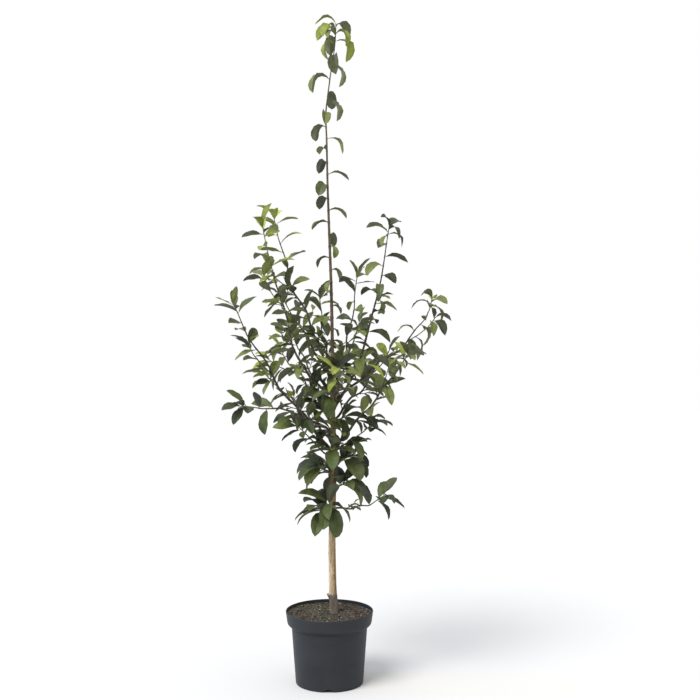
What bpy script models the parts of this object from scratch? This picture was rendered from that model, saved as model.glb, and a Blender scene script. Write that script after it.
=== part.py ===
"""A young medlar tree in a round nursery pot, in metres, +Z up, standing on Z = 0.

The pot, the soil, the trunk, every bough and every mass of foliage is a solid of its own.
A heading is an angle seen from above: 0 is +X, to the right, and 90 is +Y, to the back.
"""
import math
import random
from collections import namedtuple

import bmesh
import bpy
from mathutils import Matrix, Quaternion, Vector
from mathutils.bvhtree import BVHTree

GAP = 0.0003  # clearance between neighbouring solids

# Pot
POT_HEIGHT = 0.235
FOOT_RADIUS = 0.1085
NECK_RADIUS = 0.1215  # under the rim band
RIM_RADIUS = 0.140
BAND_HEIGHT = 0.047
WALL = 0.0024
FLOOR = 0.004
FOOT_ROUND = 0.004
# Turned corners of the pot: (radius, height) beside the neck, the rim and the floor
BAND_OUTSIDE = ((0.0, -0.002), (0.006, 0.0), (0.0105, 0.004), (0.014, 0.012))
BAND_INSIDE = ((0.014, 0.014), (0.0095, 0.0062), (0.004, 0.0026), (0.0, 0.0))
LIP_OUTSIDE = ((0.0, -0.003), (-0.0006, -0.0006), (-0.0018, 0.0))
LIP_INSIDE = (-0.0008, -0.0012)
FLOOR_CORNER = ((0.0, 0.001), (-0.002, 0.0))
POT_SIDES = 36
POT_SHARP = 35  # angle past which an edge is drawn sharp, in degrees
NOTCH_COUNT = 3  # drainage arches in the foot
NOTCH_HEADING = -91.0
NOTCH_WIDTH = 0.040
NOTCH_HEIGHT = 0.010
NOTCH_DEPTH = 0.030
NOTCH_SIDES = 48

# Soil
SOIL_TOP = 0.2265  # the level round the trunk
SOIL_FALL = 0.001  # how much lower the soil lies at the wall
SOIL_FLAT = 0.030
SOIL_HALFWAY = (0.62, 0.35)  # share of the rim's radius, share of the fall reached there

# Trunk and the leading shoot above it: height, sideways place, place towards the back
STEM_LINE = (
    (0.226, 0.0150, 0.000), (0.300, 0.0110, 0.002), (0.430, 0.0085, 0.004),
    (0.560, 0.0095, 0.002), (0.660, 0.0130, -0.001), (0.780, 0.0130, -0.003),
    (0.910, 0.0100, 0.000), (1.060, 0.0100, 0.003), (1.260, 0.0065, 0.001),
    (1.420, 0.0010, -0.004), (1.600, -0.0050, -0.006), (1.730, -0.0075, 0.000),
    (1.810, -0.0105, 0.006), (1.860, -0.0050, 0.010), (1.945, 0.0060, 0.012),
    (2.020, 0.0180, 0.010), (2.090, 0.0220, 0.006),
)
# Height and radius of the same stem
STEM_TAPER = (
    (0.226, 0.0132), (0.240, 0.0124), (0.262, 0.0132), (0.279, 0.0142), (0.286, 0.0124),
    (0.320, 0.0120), (0.480, 0.0110), (0.660, 0.0098), (0.820, 0.0084), (0.960, 0.0070),
    (1.060, 0.0058), (1.300, 0.0044), (1.600, 0.0033), (1.900, 0.0023), (2.090, 0.0014),
)
TRUNK_TOP = 1.060  # the fork, where the leafy leading shoot begins
TRUNK_SIDES = 12
TRUNK_FOOT = (0.0, 0.014, 0.034, 0.052, 0.059, 0.085)  # rings over the soil, up past the graft's step
TRUNK_STEP = 0.04
TRUNK_SHARP = 60

# Boughs and twigs
BOUGH_SIDES = 7
BOUGH_SHARP = 50
TWIG_SIDES = 4
LEADER_SIDES = 5
ROUTE_STEP = 0.038  # length of the straight pieces that a shoot's curve is made of
WOBBLE = 0.007  # how far a shoot strays from its curve
WOBBLE_LENGTH = 0.3  # a shoot shorter than this strays less
WOBBLE_WAVES = (2.0, 3.4)
TIP_RADIUS = 0.0013
SEAT_ROOM = 0.004  # from a limb's slanted foot to its next ring
SEAT_BELOW = 0.02  # how far below a limb the trunk's radius is read for its foot
STOP_ROOM = 0.3  # kept free at both ends of a limb, as a share of its pieces' length
BEND_REACH = 0.002  # how far before and past a bend its direction is read
RING_START = Vector((0.31, 0.11, 0.94))  # a direction that no limb takes

# Leaves: angles in degrees, (low, high) where the value is drawn from a range
LEAF_LENGTH = 0.083
LEAF_KEEL = 0.0008  # how far the midrib stands out underneath
LEAF_SECTIONS = ((0.34, 1.0), (0.70, 0.80))  # share of the length, share of the full width
LEAF_SPACING = 0.030
LEAF_SPREAD = 66  # between a leaf and its shoot
TIP_SPREAD = 30  # the same at the very end of a shoot
LEAF_ROLL = (-42, 42)
LEAF_FOLD = (14, 30)
LENGTH_STRAY = (0.86, 1.14)
WIDTH_STRAY = (0.88, 1.10)
TURN_STRAY = (-12, 12)
LEAN_STRAY = (-12, 10)
SPIRAL = 137.5  # turn from one leaf to the next round a shoot
RETRY_TURN = 24  # further turn of each new try
ROOT_SINK = 0.3  # how far a root lies past the middle of its shoot, as a share of the radius
OUTER_FROM = 0.3  # share of a leaf's length past which it touches no other of its mass
TIP_MARGIN = 0.002  # from the last leaf to the very end of a shoot
MIDRIB_STEPS = 24
TRIES = 6  # places tried for a leaf before it is left out
ARCH_POWER = 1.25  # of the share of a leaf's length, for how far it has bent over
ROLL_END = 0.4  # share of its length by which a leaf has rolled
UPWARD = Vector((0.03, 0.02, 1.0))
BACKWARD = Vector((0.0, 1.0, 0.0))
NEARLY_UPRIGHT = 0.05  # sine of the slant under which a shoot counts as upright
SWELL = 0.0005  # room kept round a leaf

# A shoot: where it leaves the trunk, its course, the share of it that is a bare bough,
# its radius there, the turn of its first leaf, the size and droop of its leaves, its side twigs
SHOOT_FIELDS = "name height heading reach rise slope end_slope bare radius turn size droop twigs"
Shoot = namedtuple("Shoot", SHOOT_FIELDS)
# How the leaves of a row bend over: by how many degrees, by how much more at the row's end,
# and the share of its length by which a leaf has bent over
Droop = namedtuple("Droop", "low high limp bent_by")
ARCHED = Droop(14, 78, 0.0, 1.0)
LEVEL = Droop(4, 46, 0.0, 1.0)
HANGING = Droop(36, 116, 0.0, 0.7)
SHOOTS = (
    Shoot("left_tall_front", 0.830, 217.0, 0.264, 0.626, 54, 77, 0.26, 0.0050, 20, 1.00, ARCHED, (0.62,)),
    Shoot("left_tall_back", 1.028, 140.6, 0.252, 0.472, 47, 75, 0.18, 0.0044, 200, 1.00, ARCHED, (0.50,)),
    Shoot("left_inner", 0.985, 164.0, 0.170, 0.255, 52, 58, 0.24, 0.0036, 80, 0.92, ARCHED, ()),
    Shoot("left_inner_front", 0.888, 207.0, 0.150, 0.260, 52, 66, 0.24, 0.0036, 120, 0.95, ARCHED, ()),
    Shoot("left_wide", 0.744, 194.5, 0.320, 0.476, 48, 67, 0.25, 0.0052, 60, 0.98, LEVEL, (0.55,)),
    Shoot("left_middle", 0.778, 170.0, 0.225, 0.215, 40, 42, 0.30, 0.0038, 190, 0.95, LEVEL, ()),
    Shoot("left_low", 0.805, 224.0, 0.375, 0.112, 32, 4, 0.30, 0.0042, 140, 0.96, LEVEL, ()),
    Shoot("left_lower", 0.722, 186.0, 0.118, 0.112, 34, 50, 0.32, 0.0030, 260, 1.05, ARCHED, ()),
    Shoot("right_inner_back", 0.936, 68.0, 0.216, 0.377, 40, 74, 0.30, 0.0040, 10, 0.95, ARCHED, ()),
    Shoot("right_inner_front", 0.925, -56.0, 0.150, 0.235, 50, 62, 0.24, 0.0036, 320, 0.95, ARCHED, ()),
    Shoot("right_tall", 0.878, -33.3, 0.210, 0.580, 50, 80, 0.24, 0.0048, 250, 0.98, HANGING, ()),
    Shoot("right_wide", 0.894, 14.0, 0.330, 0.339, 50, 80, 0.28, 0.0048, 30, 1.05, HANGING, (0.66,)),
    Shoot("right_front", 0.763, -32.8, 0.277, 0.306, 42, 52, 0.26, 0.0046, 110, 1.00, ARCHED, (0.60,)),
    Shoot("right_lower", 0.748, -8.0, 0.125, 0.090, 30, 45, 0.34, 0.0030, 40, 1.05, ARCHED, ()),
    Shoot("right_low", 0.564, -36.0, 0.203, 0.063, 4, 42, 0.46, 0.0034, 170, 1.10, ARCHED, ()),
    Shoot("back_left", 0.860, 129.0, 0.284, 0.200, 42, 45, 0.34, 0.0044, 300, 0.98, ARCHED, (0.60,)),
    Shoot("back_right", 0.840, 50.0, 0.285, 0.210, 40, 48, 0.34, 0.0044, 220, 0.98, ARCHED, (0.62,)),
    Shoot("front", 0.865, -84.0, 0.240, 0.165, 44, 38, 0.22, 0.0042, 90, 1.00, ARCHED, ()),
    Shoot("back", 0.900, 100.0, 0.275, 0.340, 48, 64, 0.32, 0.0044, 330, 0.98, ARCHED, (0.58,)),
)
SHOOT_WIDTH = 0.40  # a leaf's width as a share of its length
SHOOT_SHRINK = 0.94  # size of a shoot's last leaves beside its first
END_CLUSTER = 5  # leaves crowded at the end of a shoot
END_CLUSTER_LENGTH = 0.034
CLUSTER_SIZES = (1.08, 0.86)  # size of its first and last leaf beside the leaves below them
SIDE_TWIG_LENGTH = 0.115
SIDE_TWIG_SPREAD = 42.0
SIDE_TWIG_SLOPE = (0.6, 0.8)  # share of its shoot's slope
SIDE_TWIG_BEND = (-12, 14)  # slope at its start and end beside the mean
SIDE_TWIG_THINNING = 0.72
SIDE_TWIG_TURN = 60
SIDE_TWIG_CLUSTER = 3
SIDE_TWIG_CLUSTER_LENGTH = 0.0204

# The leading shoot: its leaves grow larger towards its tip and hang there in a tuft
LEADER_SPACING = 0.037
LEADER_TURN = 150.0
LEADER_SIZES = (0.52, 1.18)
LEADER_DROOP = Droop(60, 105, 0.5, 0.62)
LEADER_WIDTH = 0.43
LEADER_CLUSTER = 8
LEADER_CLUSTER_LENGTH = 0.060

# Short spurs on the trunk, each with a rosette of large leaves
Spur = namedtuple("Spur", "name height heading length leaves size turn")
SPURS = (
    Spur("left_lowest", 0.545, 206, 0.034, 8, 1.30, 0),
    Spur("front_lowest", 0.566, -108, 0.028, 6, 1.32, 60),
    Spur("right_lowest", 0.628, -34, 0.036, 8, 1.28, 40),
    Spur("back_lowest", 0.655, 98, 0.034, 8, 1.20, 100),
    Spur("left_second", 0.676, 198, 0.036, 8, 1.24, 160),
    Spur("right_second", 0.706, 16, 0.036, 8, 1.20, 220),
    Spur("front_second", 0.740, -100, 0.030, 7, 1.20, 280),
    Spur("back_second", 0.790, 96, 0.032, 7, 1.10, 30),
    Spur("right_third", 0.842, -12, 0.032, 7, 1.12, 90),
    Spur("left_third", 0.862, 182, 0.030, 6, 1.10, 190),
    Spur("front_third", 0.912, -122, 0.030, 7, 1.08, 150),
    Spur("back_third", 0.996, 60, 0.028, 6, 1.00, 210),
    Spur("front_highest", 0.985, -78, 0.030, 6, 1.02, 20),
)
SPUR_SLOPE = 32.0
SPUR_CURL = 20.0  # how much steeper it ends
SPUR_RISE = 0.6  # beside its length
SPUR_FOOT = 0.008  # the part of it inside the trunk
SPUR_RADIUS = 0.0032
SPUR_THINNING = 0.7
SPUR_ROSETTE = 0.36  # share of its length that bears leaves
SPUR_WIDTH = 0.43
SPUR_DROOP = Droop(45, 105, 0.0, 1.0)

# Colours: base colour, roughness
FINISHES = {
    "pot": ((0.050, 0.053, 0.060, 1.0), 0.55),
    "soil": ((0.085, 0.072, 0.055, 1.0), 0.95),
    "trunk": ((0.300, 0.225, 0.150, 1.0), 0.80),
    "bough": ((0.120, 0.100, 0.070, 1.0), 0.75),
    "foliage": ((0.120, 0.190, 0.060, 1.0), 0.50),
}

Leaf = namedtuple("Leaf", "midrib half_width fold")
Row = namedtuple("Row", "route start end spacing turn sizes width droop cluster cluster_length")


def clear_scene():
    """Remove whatever the opened file holds."""
    for item in list(bpy.data.objects):
        bpy.data.objects.remove(item, do_unlink=True)


def material(name, finish):
    """A Principled material of one of the named finishes."""
    made = bpy.data.materials.new(name)
    made.use_nodes = True
    shader = made.node_tree.nodes["Principled BSDF"]
    colour, roughness = FINISHES[finish]
    shader.inputs["Base Color"].default_value = colour
    shader.inputs["Roughness"].default_value = roughness
    made.diffuse_color = colour
    return made


def add_object(name, mesh, finish=None):
    """Link a mesh as an object, with its own material when it is a finished piece."""
    item = bpy.data.objects.new(name, mesh)
    bpy.context.scene.collection.objects.link(item)
    if finish:
        mesh.materials.clear()
        mesh.materials.append(material(name + "_finish", finish))
    return item


def mesh_of(name, corners, faces):
    """A mesh from corners and faces."""
    mesh = bpy.data.meshes.new(name)
    mesh.from_pydata([tuple(corner) for corner in corners], [], faces)
    mesh.update()
    return mesh


def between(pairs, key):
    """Read a value from (key, value) pairs in rising order, in straight steps."""
    for (low, first), (high, second) in zip(pairs, pairs[1:]):
        if key <= high:
            share = max(0.0, (key - low) / (high - low))
            return first + (second - first) * share
    return pairs[-1][1]


def stem_middle(height):
    """The middle of the trunk, and of the leading shoot above it, at a height."""
    line = STEM_LINE
    at = 0
    while at < len(line) - 2 and height > line[at + 1][0]:
        at += 1
    before, start = line[max(at - 1, 0)], line[at]
    end, after = line[at + 1], line[min(at + 2, len(line) - 1)]
    span = end[0] - start[0]
    t = min(1.0, max(0.0, (height - start[0]) / span))
    place = []
    for axis in (1, 2):
        rise_in = (end[axis] - before[axis]) / (end[0] - before[0]) * span
        rise_out = (after[axis] - start[axis]) / (after[0] - start[0]) * span
        place.append(
            (2 * t**3 - 3 * t**2 + 1) * start[axis] + (t**3 - 2 * t**2 + t) * rise_in
            + (3 * t**2 - 2 * t**3) * end[axis] + (t**3 - t**2) * rise_out
        )
    return Vector((place[0], place[1], height))


def compass(heading, slope):
    """The direction of a heading and a slope, both in degrees."""
    turn, climb = math.radians(heading), math.radians(slope)
    return Vector((math.cos(climb) * math.cos(turn), math.cos(climb) * math.sin(turn), math.sin(climb)))


class Route:
    """A curve that is walked by its length, with a radius that tapers along it."""

    def __init__(self, points, start_radius, end_radius):
        self.points = points
        self.radii = (start_radius, end_radius)
        self.marks = [0.0]
        for first, second in zip(points, points[1:]):
            self.marks.append(self.marks[-1] + (second - first).length)
        self.length = self.marks[-1]

    def stops(self, start, end):
        """Distances of the route's own points between two distances, with both ends."""
        spare = STOP_ROOM * self.length / len(self.points)
        return [start] + [mark for mark in self.marks if start + spare < mark < end - spare] + [end]

    def at(self, distance):
        """The point, direction and radius at a distance from the start."""
        step = 0
        while step < len(self.marks) - 2 and distance > self.marks[step + 1]:
            step += 1
        first, second = self.points[step], self.points[step + 1]
        share = (distance - self.marks[step]) / (self.marks[step + 1] - self.marks[step])
        taper = distance / self.length
        radius = self.radii[0] + (self.radii[1] - self.radii[0]) * taper
        return first.lerp(second, share), (second - first).normalized(), radius


def curved_route(start, heading, reach, rise, slope, end_slope, radii, seed):
    """A shoot's course: it leaves at one slope, ends at another, and strays a little."""
    end = start + compass(heading, 0) * reach + Vector((0, 0, rise))
    pull = (end - start).length
    leave, arrive = compass(heading, slope) * pull, compass(heading, end_slope) * pull
    side = compass(heading + 90, 0)
    over = side.cross((end - start).normalized())
    dice = random.Random(seed)
    sway = [(dice.uniform(0, math.tau), dice.uniform(*WOBBLE_WAVES)) for _ in range(2)]
    points = []
    steps = max(3, round(pull / ROUTE_STEP))
    for step in range(steps + 1):
        t = step / steps
        point = (
            start * (2 * t**3 - 3 * t**2 + 1) + leave * (t**3 - 2 * t**2 + t)
            + end * (3 * t**2 - 2 * t**3) + arrive * (t**3 - t**2)
        )
        hold = math.sin(math.pi * t) * WOBBLE * min(1.0, pull / WOBBLE_LENGTH)
        for axis, (phase, waves) in zip((side, over), sway):
            point = point + axis * hold * math.sin(phase + math.tau * waves * t)
        points.append(point)
    return Route(points, *radii)


def leader_route():
    """The leading shoot, from the trunk's top to its tip."""
    rise = STEM_LINE[-1][0] - TRUNK_TOP
    steps = round(rise / ROUTE_STEP)
    points = [stem_middle(TRUNK_TOP + rise * step / steps) for step in range(steps + 1)]
    return Route(points, between(STEM_TAPER, TRUNK_TOP), TIP_RADIUS)


def ring(middle, direction, radius, sides):
    """Corners round a point, square to a direction."""
    across = direction.cross(RING_START).normalized()
    up = across.cross(direction).normalized()
    angles = [math.tau * k / sides for k in range(sides)]
    return [middle + (across * math.cos(angle) + up * math.sin(angle)) * radius for angle in angles]


def tube(rings):
    """Corners and faces of a closed tube through rings of equal count, from start to end."""
    sides = len(rings[0])
    corners = [corner for loop in rings for corner in loop]
    last = (len(rings) - 1) * sides
    faces = [tuple(range(sides)), tuple(last + k for k in reversed(range(sides)))]
    for row in range(len(rings) - 1):
        for k in range(sides):
            first, second = row * sides + k, row * sides + (k + 1) % sides
            faces.append((first, first + sides, second + sides, second))
    return corners, faces


def limb(route, start, end, sides):
    """Rings of a limb along its route, from one distance to another."""
    rings = []
    for stop in route.stops(start, end):
        middle, direction, radius = route.at(stop)
        if start < stop < end:
            direction = (route.at(stop + BEND_REACH)[1] + route.at(stop - BEND_REACH)[1]).normalized()
        rings.append(ring(middle, direction, radius, sides))
    return rings


def seat_on_trunk(rings, route, height):
    """Cut a limb's foot parallel to the trunk, so that it stands one gap clear of the bark."""
    middle = stem_middle(height)
    direction = route.at(0.0)[1]
    outward = Vector((direction.x, direction.y, 0.0)).normalized()
    face = middle + outward * (between(STEM_TAPER, height - SEAT_BELOW) + GAP)
    foot_middle, foot_direction, radius = route.at(0.0)
    slide = (face - foot_middle).dot(outward) / foot_direction.dot(outward)
    foot = ring(foot_middle + foot_direction * slide, foot_direction, radius, len(rings[0]))
    steep = foot_direction.dot(outward)
    foot = [corner + foot_direction * ((face - corner).dot(outward) / steep) for corner in foot]
    clear = max((corner - face).dot(foot_direction) for corner in foot) + SEAT_ROOM
    kept = [foot]
    for loop in rings:
        outside = all((corner - face).dot(outward) > SEAT_ROOM / 2 for corner in loop)
        if outside and (sum(loop, Vector()) / len(loop) - face).dot(foot_direction) > clear:
            kept.append(loop)
    return kept


def leaf_midrib(root, direction, length, droop, roll, bent_by):
    """Points, directions and side directions along a leaf that arches over under its weight."""
    level = direction.cross(Vector((0, 0, 1)))
    if level.length < NEARLY_UPRIGHT:
        level = direction.cross(BACKWARD)
    level.normalize()
    stations = []
    point = root.copy()
    step = length / MIDRIB_STEPS
    for index in range(MIDRIB_STEPS + 1):
        s = index / MIDRIB_STEPS
        bend = Quaternion(level, -math.radians(droop) * min(1.0, s / bent_by) ** ARCH_POWER)
        heading = bend @ direction
        side = Quaternion(heading, math.radians(roll) * min(1.0, s / ROLL_END)) @ level
        stations.append((point.copy(), heading, side))
        point = point + heading * step
    return stations


def leaf_solid(leaf, swell=0.0, root_at=0.0):
    """A leaf as a keeled blade: a pointed root, two cross-sections of three corners and a tip."""
    corners = [leaf.midrib[round(root_at * MIDRIB_STEPS)][0]]
    for s, share in LEAF_SECTIONS:
        point, heading, side = leaf.midrib[round(s * MIDRIB_STEPS)]
        normal = side.cross(heading).normalized()
        width = leaf.half_width * share
        lift = normal * (width * math.sin(leaf.fold) * 0.5 + swell)
        across = side * (width * math.cos(leaf.fold * 0.5) + swell)
        corners += [point - across + lift, point + across + lift, point - normal * (LEAF_KEEL + swell)]
    tip, heading, _ = leaf.midrib[-1]
    corners.append(tip + heading * swell)
    faces = []
    for k in range(3):
        a, b = 1 + k, 1 + (k + 1) % 3
        faces += [(0, b, a), (a, b, b + 3), (a, b + 3, a + 3), (a + 3, b + 3, 7)]
    return corners, faces


class Space:
    """Everything that has been placed, so that a new leaf can be kept clear of it."""

    def __init__(self):
        self.things = []

    def add(self, owner, corners, faces):
        low = Vector([min(corner[k] for corner in corners) for k in range(3)])
        high = Vector([max(corner[k] for corner in corners) for k in range(3)])
        self.things.append((owner, low, high, BVHTree.FromPolygons(corners, faces)))

    def free(self, corners, faces, skip=None):
        low = Vector([min(corner[k] for corner in corners) for k in range(3)])
        high = Vector([max(corner[k] for corner in corners) for k in range(3)])
        tree = None
        for owner, first, last, other in self.things:
            if owner == skip:
                continue
            if any(low[k] > last[k] or high[k] < first[k] for k in range(3)):
                continue
            tree = tree or BVHTree.FromPolygons(corners, faces)
            if tree.overlap(other):
                return False
        return True


def place_leaf(space, own, owner, label, row, distance, turn, size, spread):
    """Find a free place for one leaf at a distance along a shoot, or give None."""
    middle, along, radius = row.route.at(distance)
    across = along.cross(UPWARD)
    if across.length < NEARLY_UPRIGHT:
        across = along.cross(BACKWARD)
    across.normalize()
    for attempt in range(TRIES):
        dice = random.Random("%s %s %d" % (owner, label, attempt))
        further = attempt * dice.choice((-1, 1)) * RETRY_TURN
        spin = math.radians(turn + dice.uniform(*TURN_STRAY) + further)
        outward = Quaternion(along, spin) @ across
        lean = math.radians(spread + dice.uniform(*LEAN_STRAY))
        direction = (outward * math.sin(lean) + along * math.cos(lean)).normalized()
        length = LEAF_LENGTH * size * dice.uniform(*LENGTH_STRAY)
        limp = 1.0 + row.droop.limp * (distance / row.end) ** 2
        droop = dice.uniform(row.droop.low, row.droop.high) * limp
        roll = dice.uniform(*LEAF_ROLL)
        root = middle - direction * radius * ROOT_SINK
        midrib = leaf_midrib(root, direction, length, droop, roll, row.droop.bent_by)
        half_width = length * row.width / 2 * dice.uniform(*WIDTH_STRAY)
        leaf = Leaf(midrib, half_width, math.radians(dice.uniform(*LEAF_FOLD)))
        whole = leaf_solid(leaf, SWELL)
        outer = leaf_solid(leaf, SWELL, OUTER_FROM)
        if space.free(*whole, skip=owner) and own.free(*outer):
            space.add(owner, *whole)
            own.add(owner, *outer)
            return leaf
    return None


def leaf_places(row):
    """Distance, turn, size and spread of every leaf along a shoot, then of those at its end."""
    places = []
    small, large = row.sizes
    cluster_from = row.end - row.cluster_length
    count = max(0, int((cluster_from - row.start) / row.spacing))
    for index in range(count + 1):
        share = index / max(1, count)
        distance = row.start + (cluster_from - row.start) * share
        size = small + (large - small) * share
        places.append((distance, row.turn + SPIRAL * index, size, LEAF_SPREAD))
    first, last = CLUSTER_SIZES
    for index in range(row.cluster):
        share = (index + 1) / row.cluster
        turn = row.turn + SPIRAL * (count + 1 + index)
        size = large * (first + (last - first) * share)
        spread = LEAF_SPREAD + (TIP_SPREAD - LEAF_SPREAD) * share
        places.append((cluster_from + row.cluster_length * share, turn, size, spread))
    return places


def side_twig(route, share, name, number):
    """A short twig that leaves a shoot part of the way along it."""
    middle, direction, radius = route.at(route.length * share)
    dice = random.Random("%s twig %d" % (name, number))
    heading = math.degrees(math.atan2(direction.y, direction.x))
    heading += dice.choice((-1, 1)) * SIDE_TWIG_SPREAD * dice.uniform(*LENGTH_STRAY)
    slope = math.degrees(math.asin(direction.z)) * dice.uniform(*SIDE_TWIG_SLOPE)
    length = SIDE_TWIG_LENGTH * dice.uniform(*LENGTH_STRAY)
    reach, rise = length * math.cos(math.radians(slope)), length * math.sin(math.radians(slope))
    radii = (radius * SIDE_TWIG_THINNING, TIP_RADIUS)
    leave, arrive = slope + SIDE_TWIG_BEND[0], slope + SIDE_TWIG_BEND[1]
    return curved_route(middle, heading, reach, rise, leave, arrive, radii, name + str(number))


def grow_mass(space, name, stems, rows):
    """The leaves of every row of a mass, clear of other masses and with their outer parts apart."""
    own = Space()
    for corners, faces in stems:
        own.add(name, corners, faces)
    leaves = []
    for number, row in enumerate(rows):
        for index, place in enumerate(leaf_places(row)):
            leaf = place_leaf(space, own, name, "%d %d" % (number, index), row, *place)
            if leaf:
                leaves.append(leaf)
    return leaves


def whole_piece(mesh):
    """Keep a mesh's largest shell, which fills sealed hollows, and tell if it is closed."""
    bm = bmesh.new()
    bm.from_mesh(mesh)
    left = set(bm.faces)
    shells = []
    while left:
        shell = {left.pop()}
        edge_of = list(shell)
        while edge_of:
            near = {other for edge in edge_of.pop().edges for other in edge.link_faces} & left
            left -= near
            shell |= near
            edge_of += near
        shells.append(shell)
    largest = max(shells, key=len)
    scraps = [face for shell in shells if shell is not largest for face in shell]
    bmesh.ops.delete(bm, geom=scraps, context="FACES")
    closed = all(len(edge.link_faces) == 2 for edge in bm.edges)
    bm.to_mesh(mesh)
    bm.free()
    return closed


def fuse(name, bodies):
    """Join closed bodies into one solid with a single Boolean union on a collection."""
    base = add_object(name, mesh_of(name, *bodies[0]), "foliage")
    parts = bpy.data.collections.new(name + "_parts")
    bpy.context.scene.collection.children.link(parts)
    for index, (corners, faces) in enumerate(bodies[1:]):
        item = bpy.data.objects.new("%s_part_%d" % (name, index), mesh_of(name, corners, faces))
        parts.objects.link(item)
    union = base.modifiers.new("join", "BOOLEAN")
    union.operation = "UNION"
    union.operand_type = "COLLECTION"
    union.collection = parts
    for solver in ("EXACT", "MANIFOLD"):
        union.solver = solver
        bpy.context.view_layer.update()
        joined = bpy.data.meshes.new_from_object(base.evaluated_get(bpy.context.evaluated_depsgraph_get()))
        if whole_piece(joined):
            break
    base.modifiers.clear()
    base.data = joined
    joined.name = name
    joined.materials.clear()
    joined.materials.append(material(name + "_finish", "foliage"))
    for item in list(parts.objects):
        bpy.data.objects.remove(item, do_unlink=True)
    bpy.data.collections.remove(parts)
    return base


def turned(name, profile, finish):
    """Spin an open profile of (radius, height) about the upright axis and close both its ends."""
    bm = bmesh.new()
    corners = [bm.verts.new((radius, 0.0, height)) for radius, height in profile]
    edges = [bm.edges.new(pair) for pair in zip(corners, corners[1:])]
    bmesh.ops.spin(
        bm, geom=corners + edges, axis=(0, 0, 1), cent=(0, 0, 0), angle=math.tau,
        steps=POT_SIDES, use_merge=True,
    )
    bmesh.ops.remove_doubles(bm, verts=bm.verts, dist=1e-6)
    rims = [edge for edge in bm.edges if edge.is_boundary]
    bmesh.ops.holes_fill(bm, edges=rims, sides=0)
    bmesh.ops.recalc_face_normals(bm, faces=bm.faces)
    mesh = bpy.data.meshes.new(name)
    bm.to_mesh(mesh)
    bm.free()
    mesh.shade_smooth()
    mesh.set_sharp_from_angle(angle=math.radians(POT_SHARP))
    return add_object(name, mesh, finish)


def beside(radius, height, corners):
    """Corners of a profile that are given beside a radius and a height."""
    return [(radius + outward, height + upward) for outward, upward in corners]


def pot_outside():
    """Radius and height up the outside of the pot, from its foot to the top of its lip."""
    bevel = FOOT_ROUND * 0.3
    foot = [(FOOT_RADIUS - FOOT_ROUND, 0.0), (FOOT_RADIUS - bevel, bevel), (FOOT_RADIUS, FOOT_ROUND)]
    band = beside(NECK_RADIUS, POT_HEIGHT - BAND_HEIGHT, BAND_OUTSIDE)
    return foot + band + beside(RIM_RADIUS, POT_HEIGHT, LIP_OUTSIDE)


def pot_inside():
    """Radius and height down the inside of the pot, from its lip to its floor."""
    lip = beside(RIM_RADIUS - WALL, POT_HEIGHT, [LIP_INSIDE])
    band = beside(NECK_RADIUS - WALL, POT_HEIGHT - BAND_HEIGHT, BAND_INSIDE)
    return lip + band + beside(FOOT_RADIUS - WALL, FLOOR, FLOOR_CORNER)


def make_pot():
    """A thin-walled pot with a stepped rim band and drainage arches in its foot."""
    pot = turned("pot", pot_outside() + pot_inside(), "pot")
    arch = (NOTCH_WIDTH**2 / (8 * NOTCH_HEIGHT)) + NOTCH_HEIGHT / 2
    for index in range(NOTCH_COUNT):
        bm = bmesh.new()
        bmesh.ops.create_cone(
            bm, cap_ends=True, segments=NOTCH_SIDES, radius1=arch, radius2=arch, depth=NOTCH_DEPTH,
            matrix=Matrix.Rotation(math.radians(90), 4, "Y"),
        )
        mesh = bpy.data.meshes.new("notch")
        bm.to_mesh(mesh)
        bm.free()
        cutter = add_object("notch_cutter_%d" % (index + 1), mesh)
        heading = math.radians(NOTCH_HEADING + 360 / NOTCH_COUNT * index)
        cutter.location = (
            FOOT_RADIUS * math.cos(heading), FOOT_RADIUS * math.sin(heading), NOTCH_HEIGHT - arch,
        )
        cutter.rotation_euler = (0, 0, heading)
        cutter.hide_render = True
        cutter.display_type = "WIRE"
        cut = pot.modifiers.new("notch", "BOOLEAN")
        cut.operation = "DIFFERENCE"
        cut.solver = "EXACT"
        cut.object = cutter
    return pot


def make_soil():
    """The soil that fills the pot, a little lower at the wall than round the trunk."""
    edge = SOIL_TOP - SOIL_FALL
    lip, low = pot_inside()[:2]
    share = (edge - low[1]) / (lip[1] - low[1])
    wall = low[0] + (lip[0] - low[0]) * share - 2 * GAP
    halfway, fallen = SOIL_HALFWAY
    profile = [(SOIL_FLAT, SOIL_TOP), (RIM_RADIUS * halfway, SOIL_TOP - SOIL_FALL * fallen), (wall, edge)]
    profile += [(radius - 2 * GAP, height + GAP) for radius, height in pot_inside()[1:]]
    return turned("soil", profile, "soil")


def make_trunk(space):
    """The trunk, from its flat cut on the soil, over its flare, up to the fork."""
    heights = [SOIL_TOP + GAP + step for step in TRUNK_FOOT]
    count = round((TRUNK_TOP - heights[-1]) / TRUNK_STEP)
    heights += [heights[-1] + (TRUNK_TOP - heights[-1]) * (step + 1) / count for step in range(count)]
    rings = []
    for height in heights:
        middle, radius = stem_middle(height), between(STEM_TAPER, height)
        rings.append([middle + compass(360 * k / TRUNK_SIDES, 0) * radius for k in range(TRUNK_SIDES)])
    corners, faces = tube(rings)
    faces = [tuple(reversed(face)) for face in faces]
    space.add("trunk", corners, faces)
    mesh = mesh_of("trunk", corners, faces)
    mesh.shade_smooth()
    mesh.set_sharp_from_angle(angle=math.radians(TRUNK_SHARP))
    return add_object("trunk", mesh, "trunk")


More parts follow.
